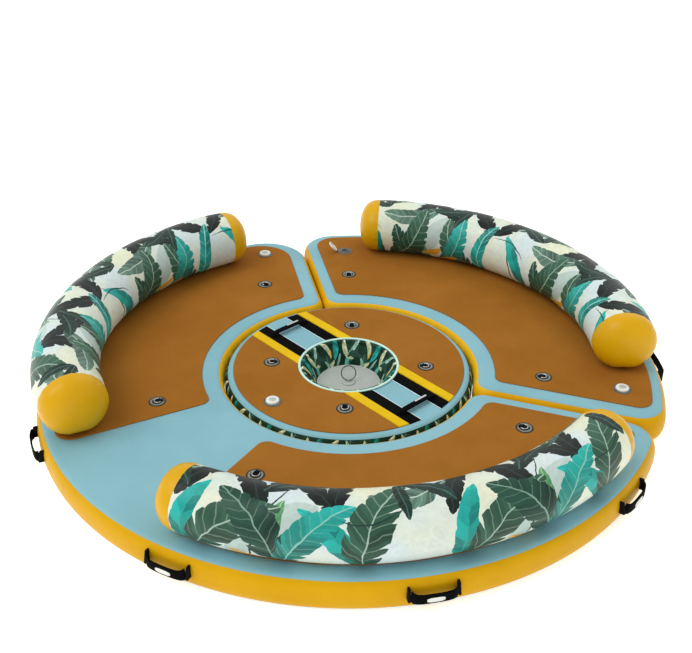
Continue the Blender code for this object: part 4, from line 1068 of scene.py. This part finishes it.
towRing = {
    "patch": 0.041, "patchThickness": 0.002,
    # the patch's middle with its pressed ridge, as (radius, share of the thickness)
    "ridge": ((0.0, 0.7), (0.018, 0.7), (0.0195, 1.25), (0.0225, 1.25), (0.024, 0.7)),
    "collar": (0.0290, 0.0045),  # middle radius, half its width
    "steps": 48,
    "wire": 0.0025, "width": 0.033, "side": 0.010, "back": 0.012, "play": 0.0006,
    "loopWidth": 0.024, "web": 0.0022, "foot": 0.034,
    "radius": 0.950, "bays": {"left": (168.7, 249.2), "right": (-65.3, 15.5), "back": (42.4, 139.0)},
    "centreRadius": 0.380, "centreRows": {"center_front": (-135.0, -45.0), "center_back": (45.0, 135.0)},
}
barHeight = towRing["patchThickness"] + towRing["wire"] + towRing["play"] + dock["seat"]


def patchMesh():
    r, t = towRing["patch"], towRing["patchThickness"]
    profile = [(radius, t * share) for radius, share in towRing["ridge"]]
    profile += [(r - 0.006, t * 0.7), (r - 0.0045, t), (r - 0.0012, t * 0.8), (r, t * 0.3), (r, 0.0),
                (0.0, 0.0)]
    return lathe("ringPatch", profile, towRing["steps"], sharp=60.0)


def collarMesh():
    low, high = towRing["patchThickness"] * 0.6, towRing["patchThickness"] + 0.0007
    middle, half = towRing["collar"]
    inner = [(-half, low), (0.0006 - half, high - 0.0003), (0.0020 - half, high)]
    both = inner + [(-across, height) for across, height in reversed(inner)]
    profile = [(middle + across, height) for across, height in both]
    return lathe("ringCollar", profile, towRing["steps"], closed=True, sharp=60.0)


def loopMesh():
    # webbing up from its foot, over the ring's bar and down again
    r = towRing
    turn = r["wire"] + r["play"] + r["web"] / 2
    foot, footZ = r["foot"] / 2, r["patchThickness"] + r["web"] / 2
    points = [(-foot, footZ), (-turn - 0.004, footZ)]
    for i in range(13):
        t = math.pi * i / 12
        points.append((-turn * math.cos(t), barHeight + turn * math.sin(t)))
    points += [(turn + 0.004, footZ), (foot, footZ)]
    path = [Vector((x - r["back"], 0.0, z)) for x, z in points]
    outs = [Vector((-way.z, 0.0, way.x)) for way in pathWays(path)]
    return sweptBand("ringLoop", path, Vector((0.0, 1.0, 0.0)), outs, r["loopWidth"], r["web"])


def bowMesh():
    # a D: short straight ends that meet in the loop, and a half round
    half, lead = towRing["width"] / 2, towRing["wire"] * 0.25
    points = [(0.0, half * 0.8, 0.0), (lead, half * 0.92, 0.0)]
    for i in range(21):
        t = math.pi * i / 20
        points.append((towRing["side"] + half * math.sin(t), half * math.cos(t), 0.0))
    points += [(lead, -half * 0.92, 0.0), (0.0, -half * 0.8, 0.0)]
    return roundWire("towRing", points, towRing["wire"])


def placeRings():
    patch, collar, loop, bow = patchMesh(), collarMesh(), loopMesh(), bowMesh()
    rows = [(bay, angles, towRing["radius"], ringShift, f"{pads[bay]['module']}_module")
            for bay, angles in towRing["bays"].items()]
    rows += [(row, angles, towRing["centreRadius"], centreTurn, "center_module")
             for row, angles in towRing["centreRows"].items()]
    for row, angles, radius, shift, body in rows:
        for i, angle in enumerate(angles, 1):
            local = shift @ placed(*polar(radius, angle), dock["padTop"], angle)
            addPiece(f"ringPatch_{row}_{i}", patch, body, "patch", (), local)
            addPiece(f"ringCollar_{row}_{i}", collar, body, "collar", (), local)
            addPiece(f"ringLoop_{row}_{i}", loop, body, "blackNylon", (), local)
            node = f"tow_ring_{row}_{i}"
            bar = local @ Matrix.Translation((-towRing["back"], 0.0, barHeight))
            addPiece(f"towRing_{row}_{i}", bow, node, "steel", (node,), bar)


placeRings()
print("towing rings done")


# Valves: profiles as (radius, height over the pad)

def valveBodyMesh():
    v = valve
    top, plate = v["collarHeight"], v["flangeThickness"]
    collar, flange, bore = v["collar"], v["flange"], v["stem"] + v["stemPlay"]
    seatTop, seatLow = -v["seatDepth"], -v["seatDepth"] - v["seatPlate"]
    return lathe("valveBody", [
        (v["well"], top - 0.0010), (v["well"] + 0.0010, top), (collar - 0.0010, top), (collar, top - 0.0010),
        (collar, plate + 0.0006), (collar + 0.0006, plate), (flange - 0.0080, plate),
        (flange - 0.0070, plate - 0.0007), (flange - 0.0050, plate - 0.0007), (flange - 0.0040, plate),
        (flange - 0.0015, plate - 0.0002), (flange, plate - 0.0015), (flange, dock["seat"]),
        (v["barrel"], dock["seat"]), (v["barrel"], -v["barrelDepth"]), (v["well"], -v["barrelDepth"]),
        (v["well"], seatLow), (bore, seatLow), (bore, seatTop), (v["well"], seatTop),
    ], v["steps"], closed=True, sharp=50.0)


def valveStemMesh():
    v = valve
    top, button = -v["buttonDepth"], v["button"]
    plate = -v["seatDepth"] - v["seatPlate"] - dock["seat"]
    foot = plate - v["poppetThickness"]
    return lathe("valveStem", [
        (0.0, top - 0.0008), (0.0045, top - 0.0006), (button - 0.001, top), (button, top - 0.001),
        (button, top - v["buttonHeight"]), (v["stem"], top - v["buttonHeight"]), (v["stem"], plate),
        (v["poppet"], plate), (v["poppet"], foot), (0.0, foot),
    ], v["stemSteps"], sharp=50.0)


def valveCapMeshes(low):
    # the cap with its ringed top, and the pale disc inlaid in it
    v = valve
    inside = v["collarHeight"] + dock["seat"]
    high = inside + v["capTop"]
    cap, skirt, disc = v["cap"], v["collar"] + v["capPlay"], v["disc"]
    capMesh = lathe("valveCap", [
        (0.0, high - 0.0010), (0.0135, high - 0.0010), (0.0150, high - 0.0002), (0.0165, high - 0.0002),
        (0.0180, high - 0.0012), (0.0215, high - 0.0012), (0.0235, high), (cap - 0.0040, high - 0.0002),
        (cap - 0.0012, high - 0.0016), (cap, high - 0.0040), (cap, low), (skirt, low), (skirt, inside),
        (0.0, inside),
    ], v["steps"], sharp=50.0)
    discMesh = lathe("valveCapDisc", [
        (0.0, high), (disc - 0.0012, high), (disc, high - 0.0006), (disc, high - 0.0020),
        (0.0, high - 0.0020),
    ], v["steps"], sharp=50.0)
    return capMesh, discMesh


def placeValves():
    v = valve
    low = v["flangeThickness"] + dock["seat"]
    pinZ = low + v["pin"]
    bodyMesh, stemMesh = valveBodyMesh(), valveStemMesh()
    capMesh, discMesh = valveCapMeshes(low)
    strap = ((v["cap"] - 0.003, 0.0), (v["cap"] + 0.003, 0.0006), (v["leashReach"] - 0.003, 0.0004),
             (v["leashReach"], 0.0))
    path = [Vector((x, 0.0, pinZ + lift)) for x, lift in strap]
    outs = [Vector((0.0, 0.0, 1.0))] * len(path)
    leashMesh = sweptBand("valveLeash", path, Vector((0.0, 1.0, 0.0)), outs, *v["leash"])
    hinge = Matrix.Translation((v["leashReach"], 0.0, pinZ))
    for name, (_, _, _, opened, module) in v["places"].items():
        local = valvePlace(name)
        stem, cap = f"valve_stem_{name}", f"valve_cap_{name}"
        lift = local @ hinge @ Matrix.Rotation(math.radians(opened), 4, "Y") @ hinge.inverted()
        addPiece(f"valveBody_{name}", bodyMesh, module, "greyNylon", (f"valve_body_{name}",), local)
        addPiece(f"valveStem_{name}", stemMesh, stem, "whiteNylon", (stem,), local)
        addPiece(f"valveCap_{name}", capMesh, cap, "whiteNylon", (cap,), lift)
        addPiece(f"valveCapDisc_{name}", discMesh, cap, "paleNylon", (), lift)
        addPiece(f"valveLeash_{name}", leashMesh, cap, "greyNylon", (), lift)


placeValves()
print("valves done")


# Carry handles

handle = {
    "first": -28.6, "step": 40.0, "count": 9, "halfSpan": 0.093, "reach": 0.038, "rise": 0.010,
    "root": 0.012, "thickness": 0.008, "thinEnd": 0.72, "thinReach": 0.030, "height": 0.046, "pivot": 0.006,
    "rounding": 3.0, "points": 41, "horn": 0.016, "neck": 0.010, "neckReach": (-0.003, 0.005),
    "plate": (0.070, 0.021), "plateThickness": 0.0016, "plateDrop": 0.004, "plateSeat": 0.0004,
    "plateEnds": (0.55, 0.88, 1.0, 1.0, 1.0, 1.0, 1.0, 0.88, 0.55),  # its height along its length
    "lugWidth": 0.012, "lugGap": -0.0004, "lugDepth": 0.009, "lugReach": 0.017, "lugRounding": 0.003,
    "lugLean": 0.011, "lugNarrowing": 0.003,
}


def handlePath(inset):
    power = 2.0 / handle["rounding"]
    points = []
    for i in range(handle["points"]):
        turn = math.pi * i / (handle["points"] - 1)
        cosine = math.cos(turn)
        y = -(handle["halfSpan"] - inset) * math.copysign(abs(cosine) ** power, cosine)
        x = handle["root"] + (handle["reach"] - inset - handle["root"]) * math.sin(turn) ** power
        points.append(Vector((x, y, 0.0)))
    return points


def handleMesh():
    # narrow necks at the pins let the band turn clear of the wall
    h = handle
    bow = handlePath(h["thickness"] / 2)
    necks = [[Vector((h["pivot"] + x, end.y, 0.0)) for x in h["neckReach"]] for end in (bow[0], bow[-1])]
    path = necks[0] + bow[1:-1] + necks[1][::-1]
    outs = [Vector((way.y, -way.x, 0.0)) for way in pathWays(path)]
    widths, thicks, middles = [], [], []
    for i, p in enumerate(path):
        neck = i < 2 or i > len(path) - 3
        horn = 0.0 if neck else h["horn"] * (abs(p.y) / h["halfSpan"]) ** 6
        widths.append(h["neck"] if neck else h["height"] + horn)
        middles.append(p + Vector((0.0, 0.0, horn / 2)))
        full = min(1.0, (h["halfSpan"] - abs(p.y)) / h["thinReach"])
        thicks.append(h["thickness"] * (h["thinEnd"] + (1 - h["thinEnd"]) * full))
    return sweptBand("carryHandle", middles, Vector((0.0, 0.0, 1.0)), outs, widths, thicks, rounding=0.25)


def plateMesh():
    # the plain light plate on the handle's face, bent with it
    h = handle
    length, height = h["plate"]
    path = []
    for i in range(len(h["plateEnds"])):
        y = length * (i / (len(h["plateEnds"]) - 1) - 0.5)
        share = abs(y) / (h["halfSpan"] - h["thickness"] / 2)
        x = h["root"] + (h["reach"] - h["root"]) * (1 - share ** 3) ** (1 / 3)
        path.append(Vector((x + h["plateSeat"], y, -h["plateDrop"])))
    heights = [height * share for share in h["plateEnds"]]
    outs = [Vector((1.0, 0.0, 0.0))] * len(path)
    up, thickness = Vector((0.0, 0.0, 1.0)), h["plateThickness"]
    return sweptBand("handlePlate", path, up, outs, heights, thickness, rounding=0.3)


def lugMesh(side):
    # a moulded lug on the wall that takes the handle's pin, drawn up into a horn as high as the band's end
    h = handle
    near, far = h["halfSpan"] + h["lugGap"], h["halfSpan"] + h["lugWidth"]
    foot, top = -h["height"] / 2 + 0.002, h["height"] / 2 + h["horn"]
    reach = h["pivot"] + h["lugReach"]
    size = (reach + h["lugDepth"], far - near, top - foot)

    def taper(corner):
        corner.x -= h["lugLean"] if corner.x > 0 else 0.0
        corner.y -= side * h["lugNarrowing"] if side * corner.y > 0 else 0.0

    middle = (reach - size[0] / 2, side * (near + far) / 2, (foot + top) / 2)
    return finishMesh(roundedBlock(size, middle, h["lugRounding"], taper), "handleLug", 50.0)


def placeHandles():
    bandMesh, plate, lugs = handleMesh(), plateMesh(), [lugMesh(-1), lugMesh(1)]
    count = {"main": 0, "side": 0}
    for i in range(handle["count"]):
        angle = (handle["first"] + handle["step"] * i) % 360
        module = "side" if seams["right"]["angle"] < angle < seams["left"]["angle"] else "main"
        count[module] += 1
        tag = f"{module}_{count[module]}"
        centre, radius = rims[module]
        place = polar(radius, angle) + Vector(centre)
        local = ringShift @ placed(*place, dock["thickness"] / 2 + handle["rise"], angle)
        addPiece(f"carryHandle_{tag}", bandMesh, f"handle_{tag}", "webbing", (f"handle_{tag}",), local)
        addPiece(f"handlePlate_{tag}", plate, f"handle_{tag}", "whiteNylon", (), local)
        for end, lug in zip("ab", lugs):
            addPiece(f"handleLug_{tag}{end}", lug, f"{module}_module", "blackNylon", (), local)


placeHandles()
print("handles done")


# Channel across the centre module: foam bars, straps and grab bars

channel = {
    "strap": (0.0660, 0.1313), "bar": (0.132, 0.182),  # from the middle line, near and far edge
    "inner": 0.246, "outer": 0.567,  # radii between which both lie
    "strapThickness": 0.003, "barThickness": 0.008,
    # the cut edges' profiles, as (outward, down)
    "barEdge": ((-0.0050, 0.0), (-0.0024, 0.0005), (-0.0008, 0.0018), (0.0, 0.0038), (0.0, 0.0080)),
    "strapEdge": ((-0.0016, 0.0), (-0.0005, 0.0005), (0.0, 0.0014), (0.0, 0.0030)),
    "welt": (0.0042, 0.0024), "weltInset": 0.0022, "weltLift": 0.0014, "weltPoints": 13,
    "grabAt": 0.465, "grabShift": 0.010, "grabWidth": 0.031, "grabThickness": 0.010, "grabHeight": 0.020,
    "grabEnd": 0.012, "grabFoot": 0.001, "grabRound": 0.014,
    "strip": (-0.0085, 0.0115, 0.0045, -0.012, 0.062),  # across, width, thickness, where it starts and ends
}


def stripOutline(low, high, side):
    origin, inner, outer = Vector((0.0, 0.0)), channel["inner"], channel["outer"]

    def onCircle(radius, y):
        return Vector((side * math.sqrt(radius ** 2 - y ** 2), y))

    far = arc(origin, onCircle(outer, low), onCircle(outer, high), fine["strip"], side < 0)
    near = arc(origin, onCircle(inner, high), onCircle(inner, low), fine["notch"], side > 0)
    outline = far + near
    return shifted(outline if side > 0 else outline[::-1], centreTurn)


def stripMesh(name, band, edge, thickness, across, side):
    low, high = sorted((across * band[0], across * band[1]))
    top = dock["thickness"] + dock["seat"] + thickness
    section = [(out, top - down) for out, down in edge]
    return outlineSweep(name, stripOutline(low, high, side), section, True, 35.0)


def planeUvs(mesh):
    # UVs in metres from above, for flat pieces
    layer = mesh.uv_layers.active
    for loop in mesh.loops:
        x, y, _ = mesh.vertices[loop.vertex_index].co
        layer.data[loop.index].uv = (x, y)
    return mesh


def weltMesh(across, side):
    c = channel
    y = across * (c["strap"][0] - c["weltInset"])
    near, far = (math.sqrt(c[key] ** 2 - y ** 2) for key in ("inner", "outer"))
    height = dock["thickness"] + dock["seat"] + c["weltLift"]
    last = c["weltPoints"] - 1
    path = [centreTurn @ Vector((side * (near + (far - near) * i / last), y, height))
            for i in range(last + 1)]
    up = centreTurn.to_3x3() @ Vector((0.0, 1.0, 0.0))
    return sweptBand("strapWelt", path, up, [Vector((0.0, 0.0, 1.0))] * len(path), *c["welt"])


def grabMesh(name, side, low, high, across, lift, width, thickness):
    # a flat band that arches from strap to strap, or the strip that lies along its top
    c = channel
    reach = sum(c["strap"]) / 2 + c["grabRound"]
    foot = dock["thickness"] + c["strapThickness"] + c["grabFoot"]
    path = []
    for i in range(33):
        y = low + (high - low) * i / 32
        rise = c["grabHeight"] * max(0.0, 1 - (abs(y) / reach) ** 7) ** 0.5
        path.append(Vector((side * c["grabAt"] + c["grabShift"] + across, y, foot + lift + rise)))
    outs = [Vector((0.0, -way.z, way.y)) for way in pathWays(path)]
    return sweptBand(name, path, Vector((1.0, 0.0, 0.0)), outs, width, thickness, rounding=0.45)


def placeChannel():
    c, body = channel, "center_module"
    for end, side in (("left", -1), ("right", 1)):
        for row, across in (("front", -1), ("back", 1)):
            tag = f"{row}_{end}"
            mesh = stripMesh("foamBar", c["bar"], c["barEdge"], c["barThickness"], across, side)
            bar = addPiece(f"foamBar_{tag}", mesh, body, "yellowFoam", (f"channel_bar_{tag}",))
            mesh = stripMesh("flatStrap", c["strap"], c["strapEdge"], c["strapThickness"], across, side)
            addPiece(f"flatStrap_{tag}", planeUvs(mesh), body, "webbing")
            addPiece(f"strapWelt_{tag}", weltMesh(across, side), body, "welt")
        half = sum(c["strap"]) / 2 + c["grabEnd"]
        mesh = grabMesh("grabBand", side, -half, half, 0.0, 0.0, c["grabWidth"], c["grabThickness"])
        addPiece(f"grabBand_{end}", mesh, body, "webbing", (f"grab_harness_{end}",), centreTurn)
        across, width, thickness, low, high = c["strip"]
        mesh = grabMesh("grabStrip", side, low, high, across, c["grabThickness"] / 2, width, thickness)
        addPiece(f"grabStrip_{end}", mesh, body, "steel", (), centreTurn)


placeChannel()
print("channel done")


# Bowl

bowl = {
    "wall": 0.004, "rim": 0.245, "rimInset": 0.004, "wellGap": 0.001, "steps": 128,
    "lip": 0.0130, "crown": 0.0045, "belly": 0.004, "ledge": 0.015,
    "piping": (0.2425, 0.0065, 0.0050),  # middle radius, half width, half height
    "floorRadius": 0.160, "floorZ": 0.050, "floorThickness": 0.005,
    "plug": 0.034, "plugHead": 0.006, "plugBarrel": 0.022, "plugDepth": 0.020, "plugPlay": 0.0005,
    "plugSteps": 64,
    "pull": 0.036, "pullWire": 0.003, "pullLean": 60.0, "pullHeading": 137.6,
    "lug": (0.008, 0.014, 0.009), "lugSunk": 0.002, "lugRounding": 0.0025,
}
bowlTop = dock["thickness"] + dock["seat"]


def linerProfile(ledgeTop):
    # the printed cloth comes up the wall, over the inflated lip and down under the piping
    b = bowl
    outer, crown, lip = dock["well"] - b["wellGap"], bowlTop + b["crown"], b["lip"]
    inset = b["rim"] - b["rimInset"]
    profile = [(inset, bowlTop + 0.0012), (inset - 0.004, crown - 0.0012)]
    for i in range(9):
        t = math.pi / 2 * i / 8
        profile.append((outer - lip * math.sin(t), crown - lip * (1 - math.cos(t))))
    (x, z), foot = profile[-1], b["floorRadius"]
    for i in range(1, 13):
        # the wall is blown a little inward between lip and floor
        t = i / 12
        profile.append((x + (foot - x) * t - b["belly"] * math.sin(math.pi * t), z + (ledgeTop - z) * t))
    ledgeLow = ledgeTop - b["wall"]
    profile += [(foot - b["ledge"], ledgeTop), (foot - b["ledge"], ledgeLow), (foot + b["wall"], ledgeLow)]
    return profile + [(outer, dock["thickness"] - 0.004), (outer, bowlTop), (inset, bowlTop)]


def addPlug(floorTop):
    b, body = bowl, "drain_plug"
    seat, head = dock["seat"], dock["seat"] + b["plugHead"]
    plug, barrel = b["plug"], b["plugBarrel"]
    profile = [(0.0, head - 0.0012), (0.022, head - 0.0012), (0.0245, head), (plug - 0.003, head - 0.0004),
               (plug, head - 0.003), (plug, seat), (barrel, seat), (barrel, -b["plugDepth"]),
               (0.0, -b["plugDepth"])]
    local = ringShift @ Matrix.Translation((0.0, 0.0, floorTop))
    mesh = lathe("drainPlug", profile, b["plugSteps"])
    addPiece("drainPlug", mesh, body, "greyPvc", ("drain_plug",), local)
    # the pull ring stands up from a small lug, as it was left
    local = local @ Matrix.Rotation(math.radians(b["pullHeading"] + dock["centreTurn"]), 4, "Z")
    width, length, height = b["lug"]
    size, middle = (width, length, height + b["lugSunk"]), (0.0, 0.0, head + (height - b["lugSunk"]) / 2)
    mesh = finishMesh(roundedBlock(size, middle, b["lugRounding"]), "drainPlugLug", 50.0)
    addPiece("drainPlugLug", mesh, body, "greyPvc", (), local)
    lean = Matrix.Rotation(math.radians(-b["pullLean"]), 4, "Y")
    lean = Matrix.Translation((0.0, 0.0, head + height / 2)) @ lean
    loop = [lean @ Vector((b["pull"] + p.x, p.y, 0.0)) for p in (polar(b["pull"], i * 6) for i in range(60))]
    addPiece("drainPlugPull", roundWire("drainPlugPull", loop, b["pullWire"]), body, "greyNylon", (), local)


def placeBowl():
    b, body = bowl, "center_module"
    floorTop, floorLow = b["floorZ"], b["floorZ"] - b["floorThickness"]
    mesh = lathe("bowlLiner", linerProfile(floorLow - dock["seat"]), b["steps"], closed=True)
    addPiece("bowlLiner", mesh, body, "bowlPrint", ("bowl_liner",), ringShift)
    middle, across, tall = b["piping"]
    ring = [(middle + across * math.cos(t), bowlTop + tall * (1 + math.sin(t)))
            for t in (2 * math.pi * i / 16 for i in range(16))]
    mesh = lathe("bowlPiping", ring, b["steps"], closed=True, sharp=60.0)
    addPiece("bowlPiping", mesh, body, "mint", (), ringShift)
    hole, edge = b["plugBarrel"] + b["plugPlay"], b["floorRadius"] - 0.001
    profile = [(hole, floorTop), (edge - 0.001, floorTop), (edge, floorTop - 0.001), (edge, floorLow),
               (hole, floorLow)]
    mesh = lathe("bowlFloor", profile, b["steps"], closed=True, sharp=35.0)
    addPiece("bowlFloor", mesh, body, "greyPvc", ("bowl_floor",), ringShift)
    addPlug(floorTop)


placeBowl()
print("bowl done")
